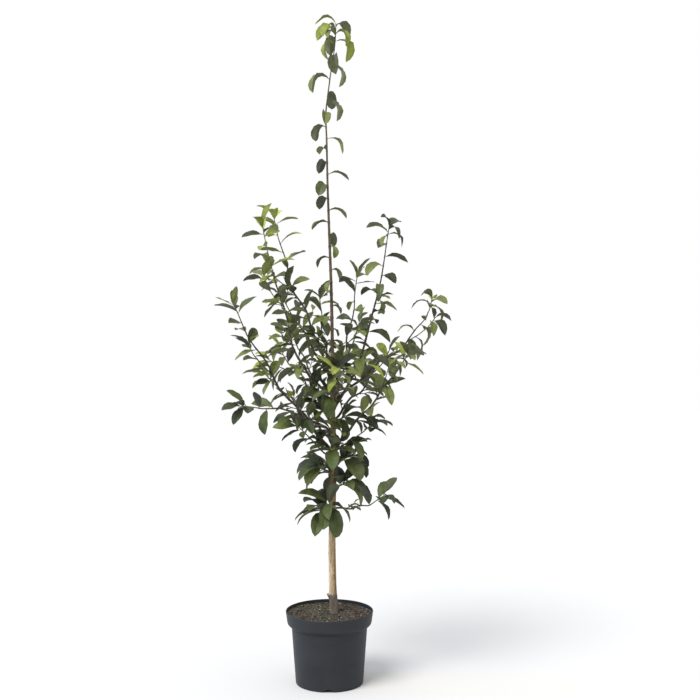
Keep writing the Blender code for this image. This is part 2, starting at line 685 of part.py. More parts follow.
def make_bough(space, shoot, route):
    """The bare part of a shoot, seated on the trunk."""
    name = "bough_" + shoot.name
    rings = limb(route, 0.0, route.length * shoot.bare, BOUGH_SIDES)
    corners, faces = tube(seat_on_trunk(rings, route, shoot.height))
    space.add(name, corners, faces)
    mesh = mesh_of(name, corners, faces)
    mesh.shade_smooth()
    mesh.set_sharp_from_angle(angle=math.radians(BOUGH_SHARP))
    return add_object(name, mesh, "bough")


def leader_mass():
    """The leading shoot above the fork, with its row of leaves."""
    route = leader_route()
    stem = tube(limb(route, GAP, route.length, LEADER_SIDES))
    end = route.length - TIP_MARGIN
    row = Row(
        route, LEADER_SPACING, end, LEADER_SPACING, LEADER_TURN, LEADER_SIZES, LEADER_WIDTH,
        LEADER_DROOP, LEADER_CLUSTER, LEADER_CLUSTER_LENGTH,
    )
    return "foliage_leader", [stem], [row]


def shoot_mass(shoot, route):
    """The leafy part of a shoot, with its side twigs."""
    begin = route.length * shoot.bare + GAP
    sizes = (shoot.size, shoot.size * SHOOT_SHRINK)
    stems = [tube(limb(route, begin, route.length, TWIG_SIDES))]
    rows = [Row(
        route, begin + LEAF_SPACING / 2, route.length - TIP_MARGIN, LEAF_SPACING, shoot.turn, sizes,
        SHOOT_WIDTH, shoot.droop, END_CLUSTER, END_CLUSTER_LENGTH,
    )]
    for number, share in enumerate(shoot.twigs):
        twig = side_twig(route, share, shoot.name, number)
        stems.append(tube(limb(twig, 0.0, twig.length, TWIG_SIDES)))
        rows.append(Row(
            twig, LEAF_SPACING, twig.length - TIP_MARGIN, LEAF_SPACING, shoot.turn + SIDE_TWIG_TURN, sizes,
            SHOOT_WIDTH, shoot.droop, SIDE_TWIG_CLUSTER, SIDE_TWIG_CLUSTER_LENGTH,
        ))
    return "foliage_" + shoot.name, stems, rows


def spur_mass(spur):
    """A rosette of leaves on a short spur of the trunk."""
    radii = (SPUR_RADIUS, SPUR_RADIUS * SPUR_THINNING)
    route = curved_route(
        stem_middle(spur.height), spur.heading, spur.length + SPUR_FOOT, spur.length * SPUR_RISE,
        SPUR_SLOPE, SPUR_SLOPE + SPUR_CURL, radii, spur.name,
    )
    stem = tube(seat_on_trunk(limb(route, 0.0, route.length, TWIG_SIDES), route, spur.height))
    rosette = route.length * SPUR_ROSETTE
    end = route.length - TIP_MARGIN
    row = Row(
        route, end - rosette, end, LEAF_SPACING, spur.turn, (spur.size, spur.size), SPUR_WIDTH,
        SPUR_DROOP, spur.leaves - 1, rosette,
    )
    return "foliage_spur_" + spur.name, [stem], [row]


def build():
    """Place every limb first, then grow the leaves in the room that is left."""
    clear_scene()
    space = Space()
    make_pot()
    make_soil()
    make_trunk(space)
    masses = [leader_mass()]
    for shoot in SHOOTS:
        route = curved_route(
            stem_middle(shoot.height), shoot.heading, shoot.reach, shoot.rise,
            shoot.slope, shoot.end_slope, (shoot.radius, TIP_RADIUS), shoot.name,
        )
        make_bough(space, shoot, route)
        masses.append(shoot_mass(shoot, route))
    masses += [spur_mass(spur) for spur in SPURS]
    for name, stems, _ in masses:
        for corners, faces in stems:
            space.add(name, corners, faces)
    for name, stems, rows in masses:
        leaves = grow_mass(space, name, stems, rows)
        fuse(name, stems + [leaf_solid(leaf) for leaf in leaves])


build()
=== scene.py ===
"""The looks of a young medlar tree in a nursery pot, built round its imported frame.

The shoots and leaves grow by the same seeded rule as the frame's solids, with finer shapes.
Lengths are in metres and angles in degrees. A heading is an angle seen from above: 0 is +X,
to the right, and 90 is +Y, to the back.
"""

import itertools
import math
import random
from collections import namedtuple

import bmesh
import bpy
from bpy.props import FloatProperty, FloatVectorProperty, IntProperty, PointerProperty
from mathutils import Matrix, Quaternion, Vector, noise
from mathutils.kdtree import KDTree


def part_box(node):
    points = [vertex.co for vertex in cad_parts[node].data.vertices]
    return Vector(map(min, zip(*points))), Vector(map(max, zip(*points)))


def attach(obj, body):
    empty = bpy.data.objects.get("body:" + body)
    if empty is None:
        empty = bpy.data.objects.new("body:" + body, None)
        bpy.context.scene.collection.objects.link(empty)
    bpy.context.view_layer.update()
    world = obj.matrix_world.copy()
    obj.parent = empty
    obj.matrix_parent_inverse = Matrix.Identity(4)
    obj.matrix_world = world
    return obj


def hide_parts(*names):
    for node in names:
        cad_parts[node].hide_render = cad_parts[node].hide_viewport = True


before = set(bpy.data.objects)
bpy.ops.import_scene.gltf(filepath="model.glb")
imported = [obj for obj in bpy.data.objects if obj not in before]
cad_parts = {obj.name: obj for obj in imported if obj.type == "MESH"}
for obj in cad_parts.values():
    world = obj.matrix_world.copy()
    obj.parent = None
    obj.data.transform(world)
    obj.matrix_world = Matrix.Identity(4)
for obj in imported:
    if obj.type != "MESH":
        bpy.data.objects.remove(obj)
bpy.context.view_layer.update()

bl_info = {
    "name": "Potted Medlar Tree",
    "version": (1, 0, 0),
    "blender": (4, 5, 0),
    "location": "3D View > Sidebar > Medlar",
    "description": "Bark, twigs, leaves, potting mix and nursery pot of a young medlar tree",
    "category": "Add Mesh",
}

GAP = 0.0003

# Pot
POT_LOW, POT_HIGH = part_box("pot")
POT_HEIGHT = POT_HIGH.z
RIM_RADIUS = (POT_HIGH.x - POT_LOW.x) / 2
FOOT_RADIUS = 0.1085
NECK_RADIUS = 0.1215
BAND_HEIGHT = 0.047
NECK_HEIGHT = POT_HEIGHT - BAND_HEIGHT
BAND_FLARE = 0.0045
WALL = 0.0024
FLOOR = 0.004
NOTCH_COUNT = 3
NOTCH_HEADING = -91.0
NOTCH_WIDTH = 0.040
NOTCH_HEIGHT = 0.010

# Potting mix
SOIL_TOP = 0.2265
SOIL_FALL = 0.001
SOIL_RINGS = 60
SOIL_STEPS = 200

# Trunk and the leading shoot above it: height, sideways place, place towards the back
STEM_LINE = (
    (0.226, 0.0150, 0.000), (0.300, 0.0110, 0.002), (0.430, 0.0085, 0.004),
    (0.560, 0.0095, 0.002), (0.660, 0.0130, -0.001), (0.780, 0.0130, -0.003),
    (0.910, 0.0100, 0.000), (1.060, 0.0100, 0.003), (1.260, 0.0065, 0.001),
    (1.420, 0.0010, -0.004), (1.600, -0.0050, -0.006), (1.730, -0.0075, 0.000),
    (1.810, -0.0105, 0.006), (1.860, -0.0050, 0.010), (1.945, 0.0060, 0.012),
    (2.020, 0.0180, 0.010), (2.090, 0.0220, 0.006),
)
# Height and radius of the same stem
STEM_TAPER = (
    (0.226, 0.0132), (0.240, 0.0124), (0.262, 0.0132), (0.279, 0.0142), (0.286, 0.0124),
    (0.320, 0.0120), (0.480, 0.0110), (0.660, 0.0098), (0.820, 0.0084), (0.960, 0.0070),
    (1.060, 0.0058), (1.300, 0.0044), (1.600, 0.0033), (1.900, 0.0023), (2.090, 0.0014),
)
TRUNK_TOP = 1.060  # the fork, where the leafy leading shoot begins

ROUTE_STEP = 0.038  # length of the straight pieces that a shoot's curve is made of
WOBBLE = 0.007  # how far a shoot strays from its curve
WOBBLE_LENGTH = 0.3  # a shoot shorter than this strays less
WOBBLE_WAVES = (2.0, 3.4)
TIP_RADIUS = 0.0013

# Leaves: angles in degrees, (low, high) where the value is drawn from a range
LEAF_LENGTH = 0.083
LEAF_SPACING = 0.030
LEAF_SPREAD = 66  # between a leaf and its shoot
TIP_SPREAD = 30  # the same at the very end of a shoot
LEAF_ROLL = (-42, 42)
LEAF_FOLD = (14, 30)
LENGTH_STRAY = (0.86, 1.14)
WIDTH_STRAY = (0.88, 1.10)
TURN_STRAY = (-12, 12)
LEAN_STRAY = (-12, 10)
SPIRAL = 137.5  # turn from one leaf to the next round a shoot
RETRY_TURN = 24  # further turn of each new try
ROOT_SINK = 0.3  # how far a root lies past the middle of its shoot, as a share of the radius
TIP_MARGIN = 0.002  # from the last leaf to the very end of a shoot
MIDRIB_STEPS = 24
TRIES = 6  # places tried for a leaf before it is left out
ARCH_POWER = 1.25  # of the share of a leaf's length, for how far it has bent over
ROLL_END = 0.4  # share of its length by which a leaf has rolled
UPWARD = Vector((0.03, 0.02, 1.0))
BACKWARD = Vector((0.0, 1.0, 0.0))
NEARLY_UPRIGHT = 0.05  # sine of the slant under which a shoot counts as upright

# A shoot: where it leaves the trunk, its course, the share of it that is a bare bough,
# its radius there, the turn of its first leaf, the size and droop of its leaves, its side twigs
SHOOT_FIELDS = "name height heading reach rise slope end_slope bare radius turn size droop twigs"
Shoot = namedtuple("Shoot", SHOOT_FIELDS)
# How the leaves of a row bend over: by how many degrees, by how much more at the row's end,
# and the share of its length by which a leaf has bent over
Droop = namedtuple("Droop", "low high limp bent_by")
ARCHED = Droop(14, 78, 0.0, 1.0)
LEVEL = Droop(4, 46, 0.0, 1.0)
HANGING = Droop(36, 116, 0.0, 0.7)
SHOOTS = (
    Shoot("left_tall_front", 0.830, 217.0, 0.264, 0.626, 54, 77, 0.26, 0.0050, 20, 1.00, ARCHED, (0.62,)),
    Shoot("left_tall_back", 1.028, 140.6, 0.252, 0.472, 47, 75, 0.18, 0.0044, 200, 1.00, ARCHED, (0.50,)),
    Shoot("left_inner", 0.985, 164.0, 0.170, 0.255, 52, 58, 0.24, 0.0036, 80, 0.92, ARCHED, ()),
    Shoot("left_inner_front", 0.888, 207.0, 0.150, 0.260, 52, 66, 0.24, 0.0036, 120, 0.95, ARCHED, ()),
    Shoot("left_wide", 0.744, 194.5, 0.320, 0.476, 48, 67, 0.25, 0.0052, 60, 0.98, LEVEL, (0.55,)),
    Shoot("left_middle", 0.778, 170.0, 0.225, 0.215, 40, 42, 0.30, 0.0038, 190, 0.95, LEVEL, ()),
    Shoot("left_low", 0.805, 224.0, 0.375, 0.112, 32, 4, 0.30, 0.0042, 140, 0.96, LEVEL, ()),
    Shoot("left_lower", 0.722, 186.0, 0.118, 0.112, 34, 50, 0.32, 0.0030, 260, 1.05, ARCHED, ()),
    Shoot("right_inner_back", 0.936, 68.0, 0.216, 0.377, 40, 74, 0.30, 0.0040, 10, 0.95, ARCHED, ()),
    Shoot("right_inner_front", 0.925, -56.0, 0.150, 0.235, 50, 62, 0.24, 0.0036, 320, 0.95, ARCHED, ()),
    Shoot("right_tall", 0.878, -33.3, 0.210, 0.580, 50, 80, 0.24, 0.0048, 250, 0.98, HANGING, ()),
    Shoot("right_wide", 0.894, 14.0, 0.330, 0.339, 50, 80, 0.28, 0.0048, 30, 1.05, HANGING, (0.66,)),
    Shoot("right_front", 0.763, -32.8, 0.277, 0.306, 42, 52, 0.26, 0.0046, 110, 1.00, ARCHED, (0.60,)),
    Shoot("right_lower", 0.748, -8.0, 0.125, 0.090, 30, 45, 0.34, 0.0030, 40, 1.05, ARCHED, ()),
    Shoot("right_low", 0.564, -36.0, 0.203, 0.063, 4, 42, 0.46, 0.0034, 170, 1.10, ARCHED, ()),
    Shoot("back_left", 0.860, 129.0, 0.284, 0.200, 42, 45, 0.34, 0.0044, 300, 0.98, ARCHED, (0.60,)),
    Shoot("back_right", 0.840, 50.0, 0.285, 0.210, 40, 48, 0.34, 0.0044, 220, 0.98, ARCHED, (0.62,)),
    Shoot("front", 0.865, -84.0, 0.240, 0.165, 44, 38, 0.22, 0.0042, 90, 1.00, ARCHED, ()),
    Shoot("back", 0.900, 100.0, 0.275, 0.340, 48, 64, 0.32, 0.0044, 330, 0.98, ARCHED, (0.58,)),
)
SHOOT_WIDTH = 0.40  # a leaf's width as a share of its length
SHOOT_SHRINK = 0.94  # size of a shoot's last leaves beside its first
END_CLUSTER = 5  # leaves crowded at the end of a shoot
END_CLUSTER_LENGTH = 0.034
CLUSTER_SIZES = (1.08, 0.86)  # size of its first and last leaf beside the leaves below them
SIDE_TWIG_LENGTH = 0.115
SIDE_TWIG_SPREAD = 42.0
SIDE_TWIG_SLOPE = (0.6, 0.8)  # share of its shoot's slope
SIDE_TWIG_BEND = (-12, 14)  # slope at its start and end beside the mean
SIDE_TWIG_THINNING = 0.72
SIDE_TWIG_TURN = 60
SIDE_TWIG_CLUSTER = 3
SIDE_TWIG_CLUSTER_LENGTH = 0.0204

# The leading shoot: its leaves grow larger towards its tip and hang there in a tuft
LEADER_SPACING = 0.037
LEADER_TURN = 150.0
LEADER_SIZES = (0.52, 1.18)
LEADER_DROOP = Droop(60, 105, 0.5, 0.62)
LEADER_WIDTH = 0.43
LEADER_CLUSTER = 8
LEADER_CLUSTER_LENGTH = 0.060

# Short spurs on the trunk, each with a rosette of large leaves
Spur = namedtuple("Spur", "name height heading length leaves size turn")
SPURS = (
    Spur("left_lowest", 0.545, 206, 0.034, 8, 1.30, 0),
    Spur("front_lowest", 0.566, -108, 0.028, 6, 1.32, 60),
    Spur("right_lowest", 0.628, -34, 0.036, 8, 1.28, 40),
    Spur("back_lowest", 0.655, 98, 0.034, 8, 1.20, 100),
    Spur("left_second", 0.676, 198, 0.036, 8, 1.24, 160),
    Spur("right_second", 0.706, 16, 0.036, 8, 1.20, 220),
    Spur("front_second", 0.740, -100, 0.030, 7, 1.20, 280),
    Spur("back_second", 0.790, 96, 0.032, 7, 1.10, 30),
    Spur("right_third", 0.842, -12, 0.032, 7, 1.12, 90),
    Spur("left_third", 0.862, 182, 0.030, 6, 1.10, 190),
    Spur("front_third", 0.912, -122, 0.030, 7, 1.08, 150),
    Spur("back_third", 0.996, 60, 0.028, 6, 1.00, 210),
    Spur("front_highest", 0.985, -78, 0.030, 6, 1.02, 20),
)
SPUR_SLOPE = 32.0
SPUR_CURL = 20.0  # how much steeper it ends
SPUR_RISE = 0.6  # beside its length
SPUR_FOOT = 0.008  # the part of it inside the trunk
SPUR_RADIUS = 0.0032
SPUR_THINNING = 0.7
SPUR_ROSETTE = 0.36  # share of its length that bears leaves
SPUR_WIDTH = 0.43
SPUR_DROOP = Droop(45, 105, 0.0, 1.0)


# Growth finer than the frame's: twiglets with small leaves on the inner part of each shoot
TWIGLET_EVERY = 0.100
TWIGLET_END = 0.62  # share of a shoot past which there are none
TWIGLET_LENGTH = (0.020, 0.048)
TWIGLET_SPREAD = 55
TWIGLET_RADIUS = 0.0011
TWIGLET_LEAVES = (2, 4)
TWIGLET_SIZES = (0.52, 0.86)
LEAF_ROOM = 0.010  # kept between the midribs of small leaves and others
BARK_ROOM = 0.006  # kept between small leaves and the trunk

# Leaf blades
BLADE_COLUMNS = 4
BLADE_MARKS = (0.0, 0.06, 0.17, 0.31, 0.46, 0.61, 0.76, 0.90, 1.0)  # shares of the length
STALK_END = 0.06
STALK_WIDTH = 0.0009
# How a blade widens from its stalk and narrows to its tip, as powers of the two shares, and its
# width and fold beside the frame's leaves
BladeForm = namedtuple("BladeForm", "rise fall width fold")
BLADE_FORMS = {
    "leader": BladeForm(1.10, 0.66, 1.02, 1.75),
    "leader_tip": BladeForm(1.25, 0.84, 0.92, 1.50),
    "spur": BladeForm(0.92, 0.84, 1.02, 1.05),
    "low": BladeForm(0.92, 0.84, 1.15, 1.00),
    "shoot": BladeForm(0.96, 0.88, 1.00, 1.15),
}
RING_START = Vector((0.31, 0.11, 0.94))  # a direction that no limb takes
CURL = (-0.10, 0.35)
TIP_MATCH = 0.00008  # how near a leaf's tip lies to the frame's own

Leaf = namedtuple("Leaf", "midrib half_width fold share")
Row = namedtuple("Row", "route start end spacing turn sizes width droop cluster cluster_length")
Mass = namedtuple("Mass", "name stems rows")


class PotSettings(bpy.types.PropertyGroup):
    """Sizes and colour of the nursery pot."""

    steps: IntProperty(name="Steps", description="Faces round the pot", default=144, min=24)
    colour: FloatVectorProperty(
        name="Colour", description="Charcoal of the moulded plastic", subtype="COLOR", size=4,
        default=(0.0200, 0.0223, 0.0262, 1.0),
    )
    roughness: FloatProperty(name="Roughness", description="Sheen of the plastic", default=0.5)


class SoilSettings(bpy.types.PropertyGroup):
    """Surface of the potting mix."""

    relief: FloatProperty(name="Relief", description="Height of its lumps", default=0.0040, unit="LENGTH")
    crumbs: IntProperty(name="Crumbs", description="Bark chips, straws and moss on top", default=1700, min=0)
    colour: FloatVectorProperty(
        name="Colour", description="Brown-grey of the mix", subtype="COLOR", size=4,
        default=(0.050, 0.046, 0.038, 1.0),
    )


class BarkSettings(bpy.types.PropertyGroup):
    """Relief and colours of the trunk and boughs."""

    sides: IntProperty(name="Sides", description="Faces round the trunk", default=40, min=8)
    furrow: FloatProperty(name="Furrow", description="Depth of the bark's furrows", default=0.0006, unit="LENGTH")
    flap: FloatProperty(name="Flap", description="Torn edge of the stock's bark", default=0.0090, unit="LENGTH")
    young: FloatVectorProperty(
        name="Young Bark", description="Dark brown of the boughs and shoots", subtype="COLOR", size=4,
        default=(0.062, 0.050, 0.036, 1.0),
    )


class LeafSettings(bpy.types.PropertyGroup):
    """Form of the leaves."""

    thickness: FloatProperty(name="Thickness", description="Of a leaf blade", default=0.0005, unit="LENGTH")
    keel: FloatProperty(name="Keel", description="Depth of the midrib below", default=0.0007, unit="LENGTH")
    ripple: FloatProperty(name="Ripple", description="Waves of a leaf's edge", default=0.0018, unit="LENGTH")
    fold: FloatProperty(name="Fold", description="Fold along the midrib", default=1.0)


class StageSettings(bpy.types.PropertyGroup):
    """Floor, lamps and camera."""

    floor_size: FloatProperty(name="Floor", description="Width of the floor", default=16.0, unit="LENGTH")
    sky: FloatProperty(name="Sky", description="Brightness of the surroundings", default=1.0)
    key: FloatProperty(name="Key", description="Strength of the main lamp", default=3.1)


SETTINGS = {
    "medlar_pot": PotSettings, "medlar_soil": SoilSettings, "medlar_bark": BarkSettings,
    "medlar_leaf": LeafSettings, "medlar_stage": StageSettings,
}


def between(pairs, key):
    """Read a value from (key, value) pairs in rising order, in straight steps."""
    for (low, first), (high, second) in zip(pairs, pairs[1:]):
        if key <= high:
            share = max(0.0, (key - low) / (high - low))
            return first + (second - first) * share
    return pairs[-1][1]


def stem_middle(height):
    """The middle of the trunk, and of the leading shoot above it, at a height."""
    line = STEM_LINE
    at = 0
    while at < len(line) - 2 and height > line[at + 1][0]:
        at += 1
    before, start = line[max(at - 1, 0)], line[at]
    end, after = line[at + 1], line[min(at + 2, len(line) - 1)]
    span = end[0] - start[0]
    t = min(1.0, max(0.0, (height - start[0]) / span))
    place = []
    for axis in (1, 2):
        rise_in = (end[axis] - before[axis]) / (end[0] - before[0]) * span
        rise_out = (after[axis] - start[axis]) / (after[0] - start[0]) * span
        place.append(
            (2 * t**3 - 3 * t**2 + 1) * start[axis] + (t**3 - 2 * t**2 + t) * rise_in
            + (3 * t**2 - 2 * t**3) * end[axis] + (t**3 - t**2) * rise_out
        )
    return Vector((place[0], place[1], height))


def compass(heading, slope):
    """The direction of a heading and a slope, both in degrees."""
    turn, climb = math.radians(heading), math.radians(slope)
    return Vector((math.cos(climb) * math.cos(turn), math.cos(climb) * math.sin(turn), math.sin(climb)))


class Route:
    """A curve that is walked by its length, with a radius that tapers along it."""

    def __init__(self, points, start_radius, end_radius):
        self.points = points
        self.radii = (start_radius, end_radius)
        self.marks = [0.0]
        for first, second in zip(points, points[1:]):
            self.marks.append(self.marks[-1] + (second - first).length)
        self.length = self.marks[-1]

    def at(self, distance):
        """The point, direction and radius at a distance from the start."""
        step = 0
        while step < len(self.marks) - 2 and distance > self.marks[step + 1]:
            step += 1
        first, second = self.points[step], self.points[step + 1]
        share = (distance - self.marks[step]) / (self.marks[step + 1] - self.marks[step])
        taper = distance / self.length
        radius = self.radii[0] + (self.radii[1] - self.radii[0]) * taper
        return first.lerp(second, share), (second - first).normalized(), radius


def curved_route(start, heading, reach, rise, slope, end_slope, radii, seed):
    """A shoot's course: it leaves at one slope, ends at another, and strays a little."""
    end = start + compass(heading, 0) * reach + Vector((0, 0, rise))
    pull = (end - start).length
    leave, arrive = compass(heading, slope) * pull, compass(heading, end_slope) * pull
    side = compass(heading + 90, 0)
    over = side.cross((end - start).normalized())
    dice = random.Random(seed)
    sway = [(dice.uniform(0, math.tau), dice.uniform(*WOBBLE_WAVES)) for _ in range(2)]
    points = []
    steps = max(3, round(pull / ROUTE_STEP))
    for step in range(steps + 1):
        t = step / steps
        point = (
            start * (2 * t**3 - 3 * t**2 + 1) + leave * (t**3 - 2 * t**2 + t)
            + end * (3 * t**2 - 2 * t**3) + arrive * (t**3 - t**2)
        )
        hold = math.sin(math.pi * t) * WOBBLE * min(1.0, pull / WOBBLE_LENGTH)
        for axis, (phase, waves) in zip((side, over), sway):
            point = point + axis * hold * math.sin(phase + math.tau * waves * t)
        points.append(point)
    return Route(points, *radii)


def leader_route():
    """The leading shoot, from the trunk's top to its tip."""
    rise = STEM_LINE[-1][0] - TRUNK_TOP
    steps = round(rise / ROUTE_STEP)
    points = [stem_middle(TRUNK_TOP + rise * step / steps) for step in range(steps + 1)]
    return Route(points, between(STEM_TAPER, TRUNK_TOP), TIP_RADIUS)


def shoot_route(shoot):
    """The course of a side shoot from the middle of the trunk."""
    return curved_route(
        stem_middle(shoot.height), shoot.heading, shoot.reach, shoot.rise,
        shoot.slope, shoot.end_slope, (shoot.radius, TIP_RADIUS), shoot.name,
    )


def side_twig(route, share, name, number):
    """A short twig that leaves a shoot part of the way along it."""
    middle, direction, radius = route.at(route.length * share)
    dice = random.Random("%s twig %d" % (name, number))
    heading = math.degrees(math.atan2(direction.y, direction.x))
    heading += dice.choice((-1, 1)) * SIDE_TWIG_SPREAD * dice.uniform(*LENGTH_STRAY)
    slope = math.degrees(math.asin(direction.z)) * dice.uniform(*SIDE_TWIG_SLOPE)
    length = SIDE_TWIG_LENGTH * dice.uniform(*LENGTH_STRAY)
    reach, rise = length * math.cos(math.radians(slope)), length * math.sin(math.radians(slope))
    radii = (radius * SIDE_TWIG_THINNING, TIP_RADIUS)
    leave, arrive = slope + SIDE_TWIG_BEND[0], slope + SIDE_TWIG_BEND[1]
    return curved_route(middle, heading, reach, rise, leave, arrive, radii, name + str(number))


def leaf_midrib(root, direction, length, droop, roll, bent_by):
    """Points, directions and side directions along a leaf that arches over under its weight."""
    level = direction.cross(Vector((0, 0, 1)))
    if level.length < NEARLY_UPRIGHT:
        level = direction.cross(BACKWARD)
    level.normalize()
    stations = []
    point = root.copy()
    step = length / MIDRIB_STEPS
    for index in range(MIDRIB_STEPS + 1):
        s = index / MIDRIB_STEPS
        bend = Quaternion(level, -math.radians(droop) * min(1.0, s / bent_by) ** ARCH_POWER)
        heading = bend @ direction
        side = Quaternion(heading, math.radians(roll) * min(1.0, s / ROLL_END)) @ level
        stations.append((point.copy(), heading, side))
        point = point + heading * step
    return stations


def leaf_places(row):
    """Distance, turn, size, spread and share of the way of every leaf along a shoot."""
    places = []
    small, large = row.sizes
    cluster_from = row.end - row.cluster_length
    count = max(0, int((cluster_from - row.start) / row.spacing))
    for index in range(count + 1):
        share = index / max(1, count)
        distance = row.start + (cluster_from - row.start) * share
        size = small + (large - small) * share
        places.append((distance, row.turn + SPIRAL * index, size, LEAF_SPREAD, distance / row.end))
    first, last = CLUSTER_SIZES
    for index in range(row.cluster):
        share = (index + 1) / row.cluster
        turn = row.turn + SPIRAL * (count + 1 + index)
        size = large * (first + (last - first) * share)
        spread = LEAF_SPREAD + (TIP_SPREAD - LEAF_SPREAD) * share
        places.append((cluster_from + row.cluster_length * share, turn, size, spread, 1.0))
    return places


def try_leaf(label, attempt, row, distance, turn, size, spread, share):
    """The leaf of one place in one of the turns that are tried for it."""
    middle, along, radius = row.route.at(distance)
    across = along.cross(UPWARD)
    if across.length < NEARLY_UPRIGHT:
        across = along.cross(BACKWARD)
    across.normalize()
    dice = random.Random("%s %d" % (label, attempt))
    further = attempt * dice.choice((-1, 1)) * RETRY_TURN
    spin = math.radians(turn + dice.uniform(*TURN_STRAY) + further)
    outward = Quaternion(along, spin) @ across
    lean = math.radians(spread + dice.uniform(*LEAN_STRAY))
    direction = (outward * math.sin(lean) + along * math.cos(lean)).normalized()
    length = LEAF_LENGTH * size * dice.uniform(*LENGTH_STRAY)
    limp = 1.0 + row.droop.limp * (distance / row.end) ** 2
    droop = dice.uniform(row.droop.low, row.droop.high) * limp
    roll = dice.uniform(*LEAF_ROLL)
    root = middle - direction * radius * ROOT_SINK
    midrib = leaf_midrib(root, direction, length, droop, roll, row.droop.bent_by)
    half_width = length * row.width / 2 * dice.uniform(*WIDTH_STRAY)
    return Leaf(midrib, half_width, math.radians(dice.uniform(*LEAF_FOLD)), share)


def masses():
    """Every mass of foliage: its node's name, its stems with their starts, its rows of leaves."""
    leader = leader_route()
    row = Row(
        leader, LEADER_SPACING, leader.length - TIP_MARGIN, LEADER_SPACING, LEADER_TURN, LEADER_SIZES,
        LEADER_WIDTH, LEADER_DROOP, LEADER_CLUSTER, LEADER_CLUSTER_LENGTH,
    )
    found = [Mass("foliage_leader", [(leader, GAP)], [row])]
    for shoot in SHOOTS:
        route = shoot_route(shoot)
        begin = route.length * shoot.bare + GAP
        sizes = (shoot.size, shoot.size * SHOOT_SHRINK)
        stems = [(route, begin)]
        rows = [Row(
            route, begin + LEAF_SPACING / 2, route.length - TIP_MARGIN, LEAF_SPACING, shoot.turn, sizes,
            SHOOT_WIDTH, shoot.droop, END_CLUSTER, END_CLUSTER_LENGTH,
        )]
        for number, share in enumerate(shoot.twigs):
            twig = side_twig(route, share, shoot.name, number)
            stems.append((twig, 0.0))
            rows.append(Row(
                twig, LEAF_SPACING, twig.length - TIP_MARGIN, LEAF_SPACING, shoot.turn + SIDE_TWIG_TURN,
                sizes, SHOOT_WIDTH, shoot.droop, SIDE_TWIG_CLUSTER, SIDE_TWIG_CLUSTER_LENGTH,
            ))
        found.append(Mass("foliage_" + shoot.name, stems, rows))
    for spur in SPURS:
        radii = (SPUR_RADIUS, SPUR_RADIUS * SPUR_THINNING)
        route = curved_route(
            stem_middle(spur.height), spur.heading, spur.length + SPUR_FOOT, spur.length * SPUR_RISE,
            SPUR_SLOPE, SPUR_SLOPE + SPUR_CURL, radii, spur.name,
        )
        rosette = route.length * SPUR_ROSETTE
        end = route.length - TIP_MARGIN
        row = Row(
            route, end - rosette, end, LEAF_SPACING, spur.turn, (spur.size, spur.size), SPUR_WIDTH,
            SPUR_DROOP, spur.leaves - 1, rosette,
        )
        found.append(Mass("foliage_spur_" + spur.name, [(route, SPUR_FOOT / 2)], [row]))
    return found


def grown_leaves():
    """The leaves that the frame's masses have, each with the name of its mass."""
    leaves = []
    for mass in masses():
        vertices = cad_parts[mass.name].data.vertices
        tips = KDTree(len(vertices))
        for index, vertex in enumerate(vertices):
            tips.insert(vertex.co, index)
        tips.balance()
        for number, row in enumerate(mass.rows):
            for index, place in enumerate(leaf_places(row)):
                label = "%s %d %d" % (mass.name, number, index)
                for attempt in range(TRIES):
                    leaf = try_leaf(label, attempt, row, *place)
                    if tips.find(leaf.midrib[-1][0])[2] < TIP_MATCH:
                        leaves.append((mass.name, leaf))
                        break
    return leaves


class Crowd:
    """Points along all the leaves, kept in cells, so that a small leaf finds a free place."""

    def __init__(self):
        self.cells = {}

    def cell(self, point):
        """The cell that a point lies in."""
        return tuple(math.floor(axis / LEAF_ROOM) for axis in point)

    def add(self, leaf):
        """Take a leaf in."""
        for station in leaf.midrib[6::3]:
            self.cells.setdefault(self.cell(station[0]), []).append(station[0])

    def free(self, leaf):
        """Tell whether a leaf keeps its room from the others and from the trunk."""
        for point, _, _ in leaf.midrib[6::3]:
            middle = stem_middle(point.z)
            if (point - middle).length < between(STEM_TAPER, point.z) + BARK_ROOM:
                return False
            for cell in itertools.product(*((axis - 1, axis, axis + 1) for axis in self.cell(point))):
                if any((other - point).length < LEAF_ROOM for other in self.cells.get(cell, ())):
                    return False
        return True


def twiglets():
    """Short twigs on the inner part of each shoot: for each its route and its row of small leaves."""
    found = []
    for shoot in SHOOTS:
        route = shoot_route(shoot)
        dice = random.Random("twiglets " + shoot.name)
        mark = 0.03 + dice.uniform(0, TWIGLET_EVERY)
        turn = dice.uniform(0, 360)
        while mark < route.length * TWIGLET_END:
            start, along, _ = route.at(mark)
            across = along.cross(UPWARD).normalized()
            lean = math.radians(TWIGLET_SPREAD)
            outward = Quaternion(along, math.radians(turn)) @ across
            leave = outward * math.sin(lean) + along * math.cos(lean)
            length = dice.uniform(*TWIGLET_LENGTH)
            steps = [k / 4 for k in range(5)]
            points = [start + leave * length * t + Vector((0, 0, length * 0.3 * t * t)) for t in steps]
            twig = Route(points, TWIGLET_RADIUS * 1.5, TWIGLET_RADIUS)
            count = dice.randint(*TWIGLET_LEAVES)
            sizes = [dice.uniform(*TWIGLET_SIZES) for _ in range(2)]
            found.append(Row(
                twig, twig.length * 0.45, twig.length - TIP_MARGIN, twig.length, turn, sizes, SHOOT_WIDTH,
                shoot.droop, count - 1, twig.length * 0.5,
            ))
            mark += TWIGLET_EVERY * dice.uniform(*LENGTH_STRAY)
            turn += SPIRAL
    return found


